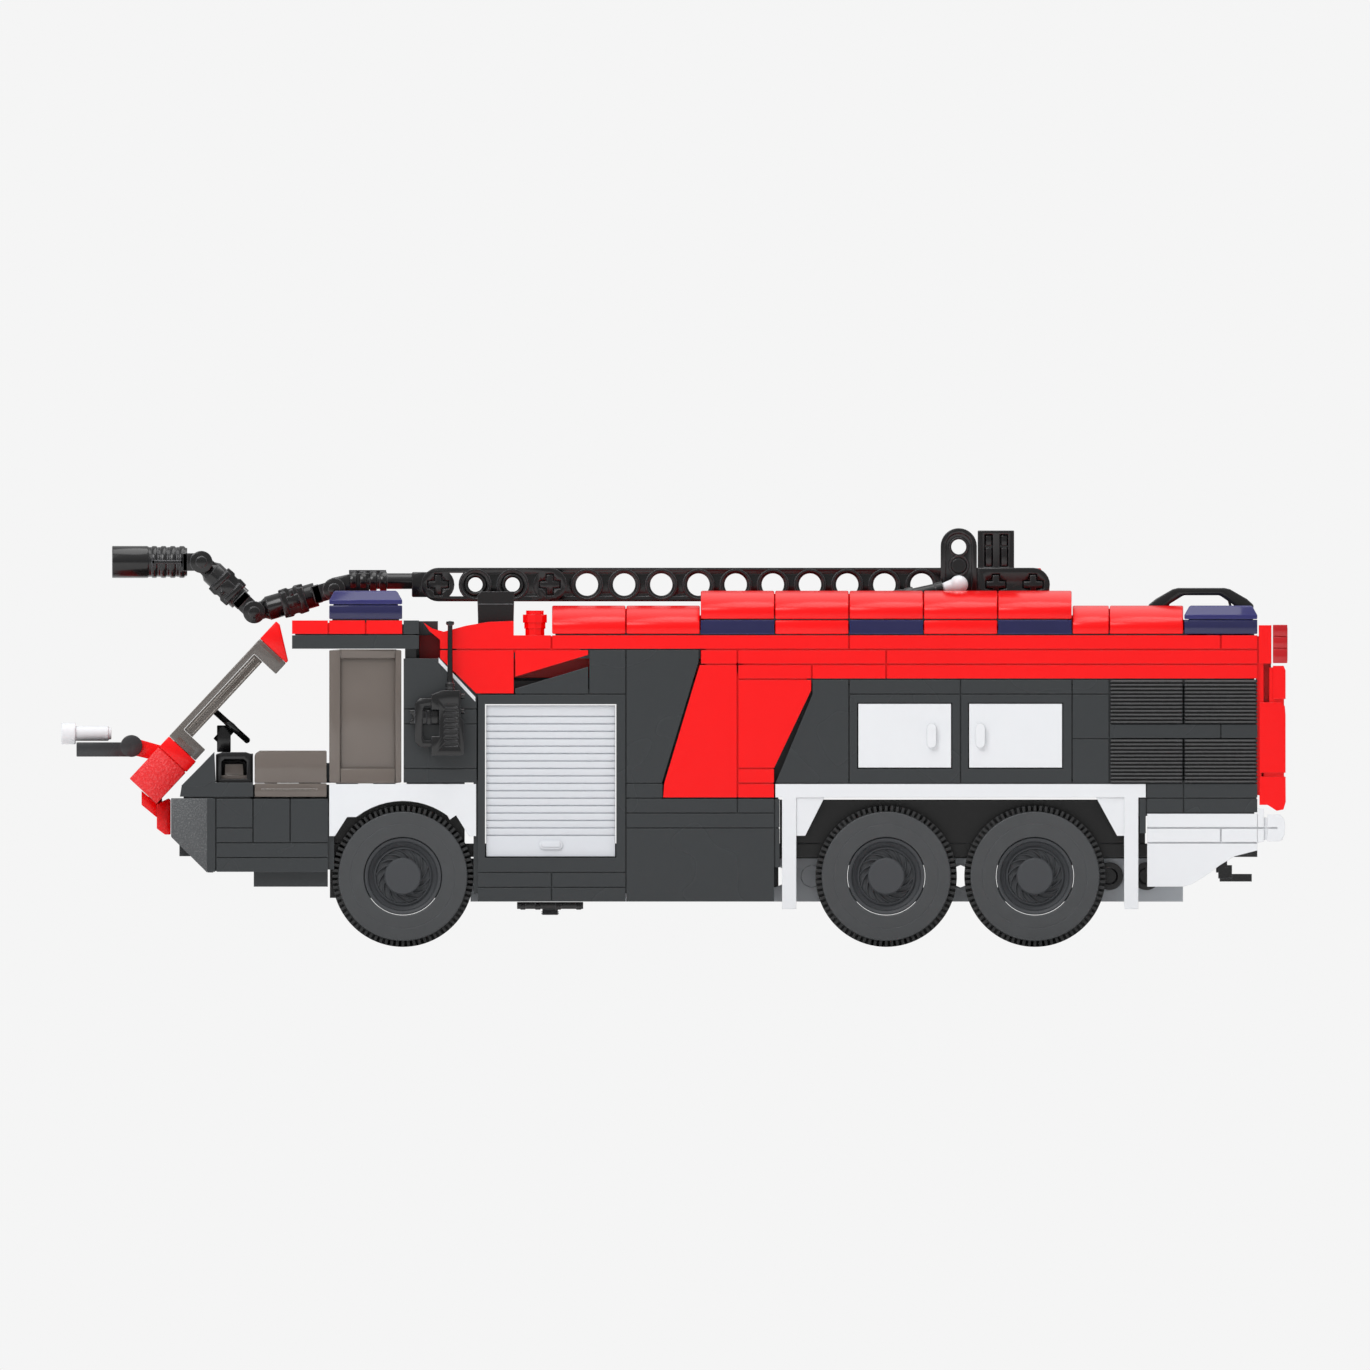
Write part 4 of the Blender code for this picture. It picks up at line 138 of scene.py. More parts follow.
def plastic(name, code, rough, round_edge=0.00022, painted_edge_light=1.25, pebbles=0.0, gloss=0.5):
    """Moulded plastic: rounded edges painted by the edge factor, a painted highlight above one and painted
    shade below one; slight drift of tone and gloss; grain where asked for, its raised spots painted paler as
    painted highlight.
    """
    n = Nodes(bpy.data.materials.new(name))
    colour = srgb(code)
    drift = n.ranged(n.noise(30, 1), 0.3, 0.7, 0.0, 1.0)
    base = n.mix(drift, shade(colour, 0.985), shade(colour, 1.015))
    normal, edge = n.rounded(round_edge)
    if pebbles:
        grain = n.noise(2600, 2)
        # painted highlight: the raised spots of the grain are painted paler
        base = n.mix(n.ranged(grain, 0.50, 0.70, 0.0, 1.0), base, [c + 0.05 for c in colour])
        normal = n.bump(grain, 0.00018, pebbles, normal)
    # painted edge light: rounded edges take the colour times the edge factor, a painted highlight above one
    # and painted shade below one, broken up by noise
    edge_paint_breakup = n.ranged(n.noise(900, 2), 0.35, 0.65, 0.55, 1.0)
    painted_edge_mask = n.add("ShaderNodeMath", {0: edge, 1: edge_paint_breakup}, operation="MULTIPLY").outputs["Value"]
    return n.dressed(Base_Color=n.mix(painted_edge_mask, base, shade(colour, painted_edge_light)),
                     Roughness=n.ranged(n.noise(60, 1), 0.3, 0.7, rough * 0.98, rough * 1.03),
                     Normal=normal, IOR=1.5, Specular_IOR_Level=gloss)


def clear_plastic(name, code, alpha, painted_edge_code):
    """Tinted clear plastic: less see-through at its edges, where its colour is painted towards a second
    colour as painted edge light; softly waved, with faint marks in the gloss.
    """
    n = Nodes(bpy.data.materials.new(name))
    colour = srgb(code)
    drift = n.ranged(n.noise(80, 2), 0.3, 0.7, 0.0, 1.0)
    normal, edge = n.rounded(0.00025)
    tone = n.mix(drift, shade(colour, 0.95), shade(colour, 1.05))
    # painted edge light: rounded edges take the second colour, a painted highlight where it is paler, painted
    # shade where it is darker
    return n.dressed(Base_Color=n.mix(edge, tone, srgb(painted_edge_code)),
                     Roughness=n.ranged(n.noise(300, 3), 0.35, 0.7, 0.056, 0.105),
                     Normal=n.bump(n.noise(130, 1), 0.0001, 0.07, normal),
                     Alpha=n.ranged(edge, 0.0, 1.0, alpha, min(1.0, alpha + 0.25)), IOR=1.5)


def rubber(name, code):
    """Soft matt rubber with a fine pebbled skin, dust in the low places, and rounded edges painted paler as
    painted highlight.
    """
    n = Nodes(bpy.data.materials.new(name))
    colour = srgb(code)
    dust = n.ranged(n.noise(260, 5), 0.45, 0.8, 0.0, 0.5)
    normal, edge = n.rounded(0.0002)
    base = n.mix(dust, shade(colour, 0.95), shade(colour, 1.15))
    # painted highlight: rounded edges painted paler
    return n.dressed(Base_Color=n.mix(edge, base, shade(colour, 1.7)),
                     Roughness=n.ranged(n.noise(700, 3), 0.3, 0.7, 0.44, 0.56),
                     Normal=n.bump(n.noise(3800, 3), 0.00004, 0.15, normal))


# Edge factors paint light on rounded edges: above one a painted highlight, below one painted shade (red,
# white and pale grey).
MATERIALS = {
    "red": plastic("red_plastic", "f0060a", 0.24, painted_edge_light=0.84, gloss=0.32),
    "dark": plastic("dark_grey_plastic", "303335", 0.27, painted_edge_light=2.0, gloss=0.42),
    "black": plastic("black_plastic", "131314", 0.18, 0.00028, painted_edge_light=20.0, gloss=0.5),
    "grey": plastic("bluish_grey_plastic", "b4b8bd", 0.27, painted_edge_light=1.05),
    "white": plastic("white_plastic", "e0e2e5", 0.30, painted_edge_light=0.92, gloss=0.4),
    "light": plastic("pale_grey_plastic", "d3d6db", 0.30, painted_edge_light=0.92, gloss=0.4),
    # The clear plastics' second colours paint their edges: paler for a painted highlight on navy, caps, red
    # and screen, darker for painted shade on smoke.
    "blue": clear_plastic("clear_navy_plastic", "23234c", 0.96, "2b2b8a"),
    "smoke": clear_plastic("smoked_clear_plastic", "746b65", 0.74, "4c4641"),
    "tail": clear_plastic("clear_red_plastic", "b8161d", 0.93, "e02a30"),
    "rubber": rubber("tyre_rubber", "3c3e40"),
    "hub": plastic("wheel_plastic", "3e4043", 0.50, painted_edge_light=1.3, gloss=0.35),
    # painted shade: the tread rubber is darker to stand for the shade between the tread blocks
    "tread": rubber("tread_rubber_painted_shade", "191a1b"),
    # painted shade: near-black sheet standing for shade inside the grilles
    "deep": plastic("shaded_black_plastic", "0a0a0b", 0.5, painted_edge_light=1.5, gloss=0.2),
    # painted shade: dark red standing for the shade in the prow's recess
    "deep_red": plastic("shaded_red_plastic", "6a0508", 0.4, painted_edge_light=1.2, gloss=0.2),
    "lamp_cap": clear_plastic("clear_navy_cap", "302f66", 0.94, "3a3ab4"),
    "rough_dark": plastic("pebbled_dark_plastic", "484a4c", 0.40, painted_edge_light=1.4, pebbles=1.0),
    "rough_red": plastic("pebbled_red_plastic", "e4161a", 0.40, painted_edge_light=1.0, pebbles=1.0),
    "screen": clear_plastic("smoked_screen", "5f5853", 0.80, "b9b3ac"),
}
for item in frame["record"]["subparts"]:
    node = NODES[item["node"]]
    node.data.materials.clear()
    node.data.materials.append(MATERIALS[item["material_slot"]])


# shapes
SIDES = (("left", False), ("right", True))


def spoke(axis, share):
    """Direction square to an axis, at a share of a full turn round it."""
    first = axis.orthogonal().normalized()
    a = 2 * math.pi * share
    return first * math.cos(a) + axis.cross(first) * math.sin(a)


def arc(cx, cz, radius, start, end, steps, rise=None):
    """Points of a round stretch, in degrees; with a rise of its own it is part of an ellipse."""
    angles = [math.radians(start + (end - start) * i / steps) for i in range(steps + 1)]
    return [(cx + math.cos(a) * radius, cz + math.sin(a) * (rise or radius)) for a in angles]


def linked(name, data):
    """New object of the scene."""
    obj = bpy.data.objects.new(name, data)
    bpy.context.scene.collection.objects.link(obj)
    return obj


class Shape:
    """Gathers faces; every part of it is a closed body."""

    def __init__(self):
        self.verts = []
        self.faces = []

    def add(self, verts, faces):
        start = len(self.verts)
        self.verts += [tuple(v) for v in verts]
        self.faces += [[i + start for i in face] for face in faces]
        return self

    def twin(self):
        """Adds the mirror image of all so far, across the truck's middle."""
        return self.add([(x, -y, z) for x, y, z in self.verts], self.faces)

    def loft(self, rings, closed=False):
        """Skins through rings of as many points; ends are capped unless the last joins the first."""
        count = len(rings[0])
        verts = [v for ring in rings for v in ring]
        faces = []
        last = len(rings) if closed else len(rings) - 1
        for r in range(last):
            s = (r + 1) % len(rings)
            faces += [[r * count + i, r * count + (i + 1) % count, s * count + (i + 1) % count, s * count + i]
                      for i in range(count)]
        if not closed:
            faces += [list(range(count))[::-1], [(len(rings) - 1) * count + i for i in range(count)]]
        return self.add(verts, faces)

    def box(self, x0, x1, y0, y1, z0, z1):
        return self.prism([(x0, z0), (x1, z0), (x1, z1), (x0, z1)], y0, y1)

    def grid_box(self, k0, k1, y0, y1, n0, n1, ease=0.0):
        """Box with its length in studs and its height in plates, drawn in by the ease."""
        return self.box(along(k0) + ease, along(k1) - ease, y0, y1, up(n0) + ease, up(n1) - ease)

    def prism(self, outline, y0, y1):
        """Outline of (x, z) points drawn out along Y."""
        return self.loft([[(x, y, z) for x, z in outline] for y in (y0, y1)])

    def grid_prism(self, points, y0, y1):
        """Outline given in studs along and plates up, drawn out along Y."""
        return self.prism([(along(k), up(n)) for k, n in points], y0, y1)

    def lengthwise(self, outline, x0, x1):
        """Outline of (y, z) points drawn out along X."""
        return self.loft([[(x, y, z) for y, z in outline] for x in (x0, x1)])

    def turn(self, profile, centre, axis=(0, 1, 0), sides=32):
        """Closed profile of (radius, distance along the axis) turned round the axis."""
        axis = Vector(axis).normalized()
        outs = [spoke(axis, i / sides) for i in range(sides)]
        rings = [[Vector(centre) + out * r + axis * d for r, d in profile] for out in outs]
        return self.loft(rings, closed=True)

    def rod(self, start, end, radius, sides=24, end_radius=None):
        start, end = Vector(start), Vector(end)
        axis = (end - start).normalized()
        outs = [spoke(axis, i / sides) for i in range(sides)]
        last = end_radius or radius
        return self.loft([[start + out * radius for out in outs], [end + out * last for out in outs]])

    def cross_rod(self, x, z, y0, y1, radius, sides=32):
        return self.rod((x, y0, z), (x, y1, z), radius, sides)

    def stud(self, k, y, n):
        """Round stud with a rounded rim, standing on a plate's top."""
        r, h, e = STUD_RADIUS, STUD_HEIGHT, 0.00018
        profile = [(0.0, -0.0002), (r, -0.0002), (r, h - e), (r - e * 0.3, h - e * 0.3), (r - e, h), (0.0, h)]
        return self.turn(profile, (along(k), y, up(n)), axis=(0, 0, 1), sides=24)

    def mesh(self, name, mirror=False):
        made = bpy.data.meshes.new(name)
        verts = [(x, -y, z) for x, y, z in self.verts] if mirror else self.verts
        made.from_pydata(verts, [], self.faces)
        bm = bmesh.new()
        bm.from_mesh(made)
        bmesh.ops.remove_doubles(bm, verts=bm.verts, dist=1e-7)
        bmesh.ops.recalc_face_normals(bm, faces=bm.faces)
        bm.to_mesh(made)
        bm.free()
        return made

    def piece(self, name, slot, body="chassis", stands_for=(), smooth=30, bevel=0.0, mirror=False, cuts=None,
              look=None):
        """Finished piece of the scene: cuts made, edges rounded, dressed in its slot's material."""
        obj = linked(name, self.mesh(name, mirror))
        if cuts:
            modifier = obj.modifiers.new("cut", "BOOLEAN")
            modifier.operation = "DIFFERENCE"
            modifier.solver = "EXACT"
            modifier.use_self = True
            modifier.object = linked(name + ".cut", cuts.mesh(name + ".cut", mirror))
        if bevel:
            weld = obj.modifiers.new("weld", "WELD")
            weld.merge_threshold = 1e-6
            rounding = obj.modifiers.new("round", "BEVEL")
            rounding.width = bevel
            rounding.segments = 2
            rounding.limit_method = "ANGLE"
            rounding.angle_limit = math.radians(40)
        if cuts or bevel:
            bpy.context.view_layer.update()
            depsgraph = bpy.context.evaluated_depsgraph_get()
            made = bpy.data.meshes.new_from_object(obj.evaluated_get(depsgraph))
            obj.modifiers.clear()
            obj.data = made
            made.name = name
        if cuts:
            bpy.data.objects.remove(bpy.data.objects[name + ".cut"], do_unlink=True)
        obj.data.materials.clear()
        obj.data.materials.append(MATERIALS[look or slot])
        if smooth:
            obj.data.shade_smooth()
            obj.data.set_sharp_from_angle(angle=math.radians(smooth))
        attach(obj, body)
        if stands_for:
            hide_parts(*stands_for)
        return obj


def both_sides(shape, name, slot, body="chassis", stands_for=(), **kwargs):
    """A left piece and its mirror image. A body's name that ends in _ goes on with the side's name."""
    for side, mirror in SIDES:
        shape.piece(name + "_" + side, slot, body + side if body.endswith("_") else body,
                    tuple(n + "_" + side for n in stands_for), mirror=mirror, **kwargs)


# wheels
WHEEL_HEIGHT = 0.0152
TREAD_RADIUS = 0.0152
TREAD_BASE = 0.0141
TREAD_BLOCKS = 76
# rows of blocks: start and end across the tread, pitches a block takes, offset in pitches
TREAD_ROWS = ((0.80, 1.00, 1, 0.0), (0.54, 0.76, 2, 0.5), (0.24, 0.46, 2, 1.5), (0.00, 0.20, 1, 0.5))
FACE_RADIUS = 0.0139
RIM_RADIUS = 0.0084
LIP_RADIUS = 0.0075
DISH_RADIUS = 0.0061
CAP_RADIUS = 0.0039
BLADES = 14
BLADE_HALF = 0.00022
BLADE_SWEEP = 0.62


def tread_block(shape, centre_x, y0, y1, angle, width):
    """One tread block, narrower at its top."""
    rings = []
    for y in (y0, y1):
        ring = []
        for r, half, sides in ((TREAD_BASE - 0.0008, width / 2, (-1, 1)),
                               (TREAD_RADIUS, width * 0.43, (1, -1))):
            for side in sides:
                a = angle + side * half / r
                ring.append((centre_x + math.sin(a) * r, y, WHEEL_HEIGHT + math.cos(a) * r))
        rings.append(ring)
    shape.loft(rings)


def tyre(name, body, mirror):
    """Smooth sidewalls with a fine ring, and between them a tread of staggered blocks in a darker rubber that
    is painted shade for the shade between the blocks.
    """
    low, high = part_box(name)
    centre = ((low.x + high.x) / 2, 0, WHEEL_HEIGHT)
    inner, outer = sorted((abs(low.y), abs(high.y)))
    wall = Shape()
    for face, back in ((outer, -1), (inner, 1)):
        profile = [(RIM_RADIUS, 0.0002), (RIM_RADIUS + 0.0002, 0.0), (0.0112, 0.0), (0.01125, 0.00008),
                   (0.0113, 0.0),
                   (FACE_RADIUS - 0.0002, 0.0), (FACE_RADIUS, 0.0002), (FACE_RADIUS, 0.0009),
                   (FACE_RADIUS - 0.0006, 0.0012), (RIM_RADIUS, 0.0012)]
        wall.turn([(r, face + depth * back) for r, depth in profile], centre, sides=96)
    wall.piece("sidewalls_" + name, "rubber", body, mirror=mirror)
    first, last = inner + 0.0006, outer - 0.0008
    shoulder = TREAD_BASE - 0.0009
    tread = Shape().turn([(RIM_RADIUS, last - 0.0003), (shoulder, last - 0.0003), (TREAD_BASE, last - 0.0012),
                          (TREAD_BASE, first + 0.0012), (shoulder, first + 0.0003),
                          (RIM_RADIUS, first + 0.0003)],
                         centre, sides=72)
    width = last - first
    pitch = 2 * math.pi / TREAD_BLOCKS
    for start, end, step, offset in TREAD_ROWS:
        for i in range(0, TREAD_BLOCKS, step):
            tread_block(tread, centre[0], first + width * start, first + width * end, (i + offset) * pitch,
                        pitch * TREAD_RADIUS * step * 0.54)
    # the tread's darker rubber is painted shade for the shade between its blocks
    tread.piece("treaded_" + name, "rubber", body, (name,), mirror=mirror, look="tread")


def hub(place):
    """Both wheel discs of an axle with lip, dish, swirl of blades and cap, and the axle between them."""
    low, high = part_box("tyre_%s_left" % place)
    inner, outer = low.y, high.y
    centre = Vector(((low.x + high.x) / 2, 0, WHEEL_HEIGHT))
    # radius, and depth behind the tyre's outer face
    profile = [(RIM_RADIUS - 0.0001, 0.0006), (RIM_RADIUS - 0.0002, 0.0005), (LIP_RADIUS + 0.0004, 0.0005),
               (LIP_RADIUS, 0.0008), (LIP_RADIUS - 0.0002, 0.0018), (DISH_RADIUS + 0.0004, 0.0024),
               (DISH_RADIUS + 0.0001, 0.0020), (DISH_RADIUS - 0.0002, 0.0019), (DISH_RADIUS - 0.0004, 0.0025),
               (CAP_RADIUS + 0.0001, 0.0025), (CAP_RADIUS + 0.0001, 0.0006), (CAP_RADIUS - 0.0002, 0.0003),
               (0.0, 0.0003)]
    disc = [(0.0, inner), (RIM_RADIUS - 0.0001, inner)] + [(r, outer - depth) for r, depth in profile]
    shape = Shape().turn(disc, centre, sides=72)
    foot = Vector((0, outer - 0.0026, 0))
    for i in range(BLADES):
        rings = []
        for step in range(5):
            share = step / 4
            a = 2 * math.pi * i / BLADES + share * BLADE_SWEEP
            r = CAP_RADIUS + (DISH_RADIUS - 0.0003 - CAP_RADIUS) * share
            point = centre + Vector((math.sin(a), 0, math.cos(a))) * r
            side = Vector((math.cos(a), 0, -math.sin(a))) * BLADE_HALF
            edge = Vector((0, outer - 0.0018 - 0.0004 * share, 0))
            rings.append([point + side * 1.8 + foot, point + side + edge, point - side + edge,
                          point - side * 1.8 + foot])
        shape.loft(rings)
    shape.twin().cross_rod(centre.x, centre.z, -inner, inner, 0.0022, 24)
    shape.piece("wheel_discs_" + place, "hub", "wheels_" + place, ("axle_" + place,), smooth=35)


for place in ("front", "mid", "rear"):
    hub(place)
    for side, mirror in SIDES:
        tyre("tyre_%s_%s" % (place, side), "wheels_" + place, mirror)


# boom
BOOM_LEVEL = 0.07796
BEAM_HALF = 0.003625
BEAM_FACE = 0.0037
PLATE_NEAR = 0.00385
PLATE_FAR = 0.0075
THIN_FACE = 0.00735
CUT_PAST = 0.01
CROSS_PAST = 0.0096
PLATE_PAST = 0.0085
HOLE_RADIUS = 0.0024
RING_RADIUS = 0.0031
RING_DEPTH = 0.0008
POCKET_RADIUS = 0.0035
POCKET_HALF = 0.0025
FIRST_HOLE = 21.05
BEAM_HOLES = 13
AXLE_HOLE = 2
TOWER_AT = 8.05
TOWER_HALF = 0.0039
TOWER_TOP = 0.09011
TOWER_HOLE_LEVEL = up(26.9)
TOWER_PIN_LEVEL = (GROUND_PX - 565.7) / PX_PER_M
TOWER_RIM = 0.0011


def capsule(x0, x1, z, r):
    """Outline with round ends."""
    return arc(x1, z, r, -90, 90, 14) + arc(x0, z, r, 90, 270, 14)


def waist(k):
    """Outline of the pocket between two rings that stand a stud apart, the first at k."""
    limit = math.degrees(math.asin(POCKET_HALF / POCKET_RADIUS))
    return (arc(along(k), BOOM_LEVEL, POCKET_RADIUS, -limit, limit, 6)
            + arc(along(k + 1), BOOM_LEVEL, POCKET_RADIUS, 180 - limit, 180 + limit, 6))


def plus(x, z, reach, half):
    """Outline of a cross-shaped hole or axle end."""
    points = []
    for cx, cz in ((1, 0), (0, 1), (-1, 0), (0, -1)):
        for side in (-1, 1):
            points.append((x + cx * reach - cz * half * side, z + cz * reach + cx * half * side))
        points.append((x + (cx - cz) * half, z + (cz + cx) * half))
    return points


def tower_outline(r, foot):
    x = along(TOWER_AT)
    return [(x - r, foot), (x + r, foot)] + arc(x, TOWER_TOP - TOWER_HALF, r, 0, 180, 16)


def ring(shape, k, z, face, inner, outer, rise, sides=32):
    """Thin raised ring on a face."""
    shape.turn([(inner, face - 0.0003), (inner, face + rise), (outer, face + rise), (outer, face - 0.0003)],
               (along(k), 0, z), sides=sides)


def hole_lip(shape, k, face):
    ring(shape, k, BOOM_LEVEL, face, RING_RADIUS - 0.0002, RING_RADIUS + 0.0003, 0.00013, 40)


def cross_hole(holes, ends, k, face, reach, depth, end_face):
    """Cross-shaped hole with a round mouth, and the end of the axle in it."""
    x = along(k)
    holes.prism(plus(x, BOOM_LEVEL, reach, 0.0009), face - depth, CROSS_PAST)
    holes.cross_rod(x, BOOM_LEVEL, face - 0.0006, CROSS_PAST, 0.0019)
    ends.prism(plus(x, BOOM_LEVEL, reach - 0.0003, 0.00065), PLATE_NEAR + 0.0010, end_face)


def boom_beam(lips):
    """Holed beam with a ring sunk round each hole and waisted pockets between."""
    x_front, x_rear = along(FIRST_HOLE), along(FIRST_HOLE - BEAM_HOLES - 1)
    beam = Shape().prism(capsule(x_rear, x_front, BOOM_LEVEL, BEAM_HALF), -BEAM_FACE, BEAM_FACE)
    cuts = Shape()
    for i in range(BEAM_HOLES):
        k = FIRST_HOLE - i
        if i != AXLE_HOLE:
            cuts.cross_rod(along(k), BOOM_LEVEL, -STUD, STUD, HOLE_RADIUS)
        for sign in (1, -1):
            cuts.cross_rod(along(k), BOOM_LEVEL, (BEAM_FACE - RING_DEPTH) * sign, STUD * sign, RING_RADIUS)
            if i + 1 < BEAM_HOLES:
                cuts.prism(waist(k - 1), (BEAM_FACE - 0.0013) * sign, STUD * sign)
        if i > AXLE_HOLE:
            hole_lip(lips, k, BEAM_FACE)
    beam.piece("boom_beam", "black", "boom", ("boom",), bevel=0.00013, cuts=cuts)


def boom_front_plates(lips):
    """Plates beside the beam's front: axle ends at their ends, bushed round holes between."""
    plate = Shape().prism(capsule(along(19.05), along(22.05), BOOM_LEVEL, BEAM_HALF), PLATE_NEAR, PLATE_FAR)
    holes = Shape()
    ends = Shape()
    for k in (22.05, 19.05):
        cross_hole(holes, ends, k, PLATE_FAR, 0.0024, 0.0011, PLATE_FAR - 0.0003)
    root = PLATE_NEAR - 0.0002
    bush = [(0.00155, root), (0.00155, PLATE_FAR - 0.0005), (0.00185, PLATE_FAR - 0.0002),
            (0.00225, PLATE_FAR - 0.0002), (0.0024, PLATE_FAR - 0.0004), (0.0024, root)]
    for k in (21.05, 20.05):
        holes.cross_rod(along(k), BOOM_LEVEL, PLATE_NEAR - 0.001, PLATE_PAST, HOLE_RADIUS)
        holes.cross_rod(along(k), BOOM_LEVEL, PLATE_FAR - RING_DEPTH, PLATE_PAST, RING_RADIUS)
        ends.turn(bush, (along(k), 0, BOOM_LEVEL))
        hole_lip(lips, k, PLATE_FAR)
    holes.prism(waist(21.05), PLATE_NEAR - 0.001, PLATE_PAST)
    for k in (20.05, 19.05):
        holes.prism(waist(k), PLATE_FAR - 0.0012, PLATE_PAST)
    both_sides(plate, "boom_front_plate", "black", "boom", bevel=0.00013, cuts=holes)
    both_sides(ends, "boom_bushes", "black", "boom", bevel=0.00008)


def boom_tower():
    """Tower with sunk faces, its round hole, its pins and the ends of the lift's cross pin."""
    foot = BOOM_LEVEL - BEAM_HALF
    tower = Shape().prism(tower_outline(TOWER_HALF, foot), -THIN_FACE, THIN_FACE)
    face = THIN_FACE - 0.0005
    cuts = Shape().prism(tower_outline(TOWER_HALF - TOWER_RIM, foot - 0.001), face, CUT_PAST).twin()
    x = along(TOWER_AT)
    cuts.cross_rod(x, TOWER_HOLE_LEVEL, -CUT_PAST, CUT_PAST, 0.0016)
    tower.piece("boom_tower", "black", "boom", bevel=0.00016, cuts=cuts)
    trim = Shape()
    ring(trim, TOWER_AT, TOWER_HOLE_LEVEL, face, 0.0016, 0.0021, 0.0004)
    ring(trim, TOWER_AT, TOWER_PIN_LEVEL, face, 0.0019, 0.0022, 0.00035)
    trim.turn([(0.0, face - 0.0003), (0.0, face + 0.0003), (0.0015, face + 0.0003), (0.0017, face + 0.0001),
               (0.0017, face - 0.0003)], (x, 0, TOWER_PIN_LEVEL))
    trim.rod((x, THIN_FACE * 0.9, BOOM_LEVEL), (x, 0.0094, BOOM_LEVEL), 0.0010, 20)
    trim.rod((x, 0.0086, BOOM_LEVEL), (x, 0.0095, BOOM_LEVEL), 0.0010, 20, 0.0014)
    trim.twin().piece("boom_tower_pins", "black", "boom")


def boom_hinge():
    """Slotted hinge block with its fingers, and the thin plates beside it with crossed axle ends."""
    block = Shape().box(along(6.56), along(7.54), -THIN_FACE + 0.0002, THIN_FACE - 0.0002,
                        BOOM_LEVEL + BEAM_HALF - 0.0002, up(28.0))
    slots = Shape()
    for k0, k1 in ((6.72, 6.95), (7.13, 7.36)):
        slots.grid_box(k0, k1, THIN_FACE - 0.0016, CUT_PAST, 25.55, 27.75)
    block.piece("boom_hinge_block", "black", "boom", bevel=0.00016, cuts=slots.twin())
    fingers = Shape()
    for k0, k1 in ((6.75, 6.90), (7.17, 7.32)):
        for n0, n1, sunk in ((25.6, 26.85, 0.0004), (26.98, 27.65, 0.0007)):
            fingers.grid_box(k0, k1, THIN_FACE - 0.0018, THIN_FACE - sunk, n0, n1)
    fingers.twin().piece("boom_hinge_fingers", "black", "boom", bevel=0.0001)
    x0, x1 = along(6.05), along(7.54)
    outline = [(x1, BOOM_LEVEL - BEAM_HALF), (x1, BOOM_LEVEL + BEAM_HALF)]
    outline += arc(x0, BOOM_LEVEL, BEAM_HALF, 90, 270, 14)
    thin = Shape().prism(outline, PLATE_NEAR, THIN_FACE)
    holes = Shape()
    ends = Shape()
    for k in (7.05, 6.05):
        cross_hole(holes, ends, k, THIN_FACE, 0.0023, 0.0010, THIN_FACE + 0.0003)
    both_sides(thin, "boom_rear_plate", "black", "boom", bevel=0.00016, cuts=holes)
    both_sides(ends, "boom_axle_ends", "black", "boom", bevel=0.0001)


# jointed pipe: hinge places in studs along and plates up
HINGES = ((24.85, 24.05), (27.0, 22.5), (28.42, 25.88))
KNUCKLE_RADIUS = 0.0024
KNUCKLE_HALF = 0.00165
SLEEVE_LEVEL = 0.0787


def boom_pipe():
    """Socket at the boom's tip, ribbed sleeve and the tongue of the first hinge."""
    sleeve = Shape()
    sleeve.box(along(22.05), along(22.76), -0.0035, 0.0035, BOOM_LEVEL - 0.0027, BOOM_LEVEL + 0.0027)
    sleeve.piece("boom_socket", "black", "boom", bevel=0.0003)
    z = SLEEVE_LEVEL
    pipe = Shape().rod((along(22.7), 0, z), (along(24.0), 0, z), 0.0017, 32)
    rib = [(0.0016, 0.0), (0.0021, 0.0002), (0.0022, 0.0006), (0.0022, 0.0011), (0.0021, 0.0015),
           (0.0016, 0.0017)]
    for i in range(4):
        pipe.turn(rib, (along(23.42 + i * 0.27), 0, z), axis=(1, 0, 0))
    pipe.box(along(23.45), along(24.45), -0.0007, 0.0007, z + 0.0016, z + 0.0024)
    pipe.piece("boom_ribbed_sleeve", "black", "boom", smooth=40)
    x1, z1 = along(HINGES[0][0]), up(HINGES[0][1])
    tongue = Shape().prism([(along(23.9), z + 0.0018), (along(24.4), z + 0.0016), (x1 + 0.0006, z1 + 0.0024),
                            (x1 + 0.0018, z1), (x1, z1 - 0.0022), (along(24.3), z - 0.0026),
                            (along(23.9), z - 0.0024)], -0.0016, 0.0016)
    tongue.cross_rod(x1, z1, -KNUCKLE_HALF, KNUCKLE_HALF, KNUCKLE_RADIUS)
    tongue.piece("boom_pipe_tongue", "black", "boom", bevel=0.0002)


class Local(Shape):
    """Shape along a length of the pipe: u along it, w up from it, y across the truck."""

    def __init__(self, start, end):
        super().__init__()
        self.start = Vector((start[0], 0, start[1]))
        span = Vector((end[0], 0, end[1])) - self.start
        self.length = span.length
        self.line = span.normalized()
        self.rise = Vector((-self.line.z, 0, self.line.x))

    def at(self, u, y, w=0.0):
        return self.start + self.line * u + self.rise * w + Vector((0, y, 0))

    def prism(self, outline, y0, y1):
        return self.loft([[self.at(u, y, w) for u, w in outline] for y in (y0, y1)])

    def fork(self, reach):
        """Cheeks that straddle a hinge, with the heads of their pin."""
        self.rod(self.at(0, 0.0020), self.at(0, 0.0037), KNUCKLE_RADIUS, 32)
        self.box(0.0002, reach, 0.0021, 0.0036, -0.0019, 0.0019)
        self.rod(self.at(0, 0.0036), self.at(0, 0.00385), 0.0012, 24)
        self.twin()


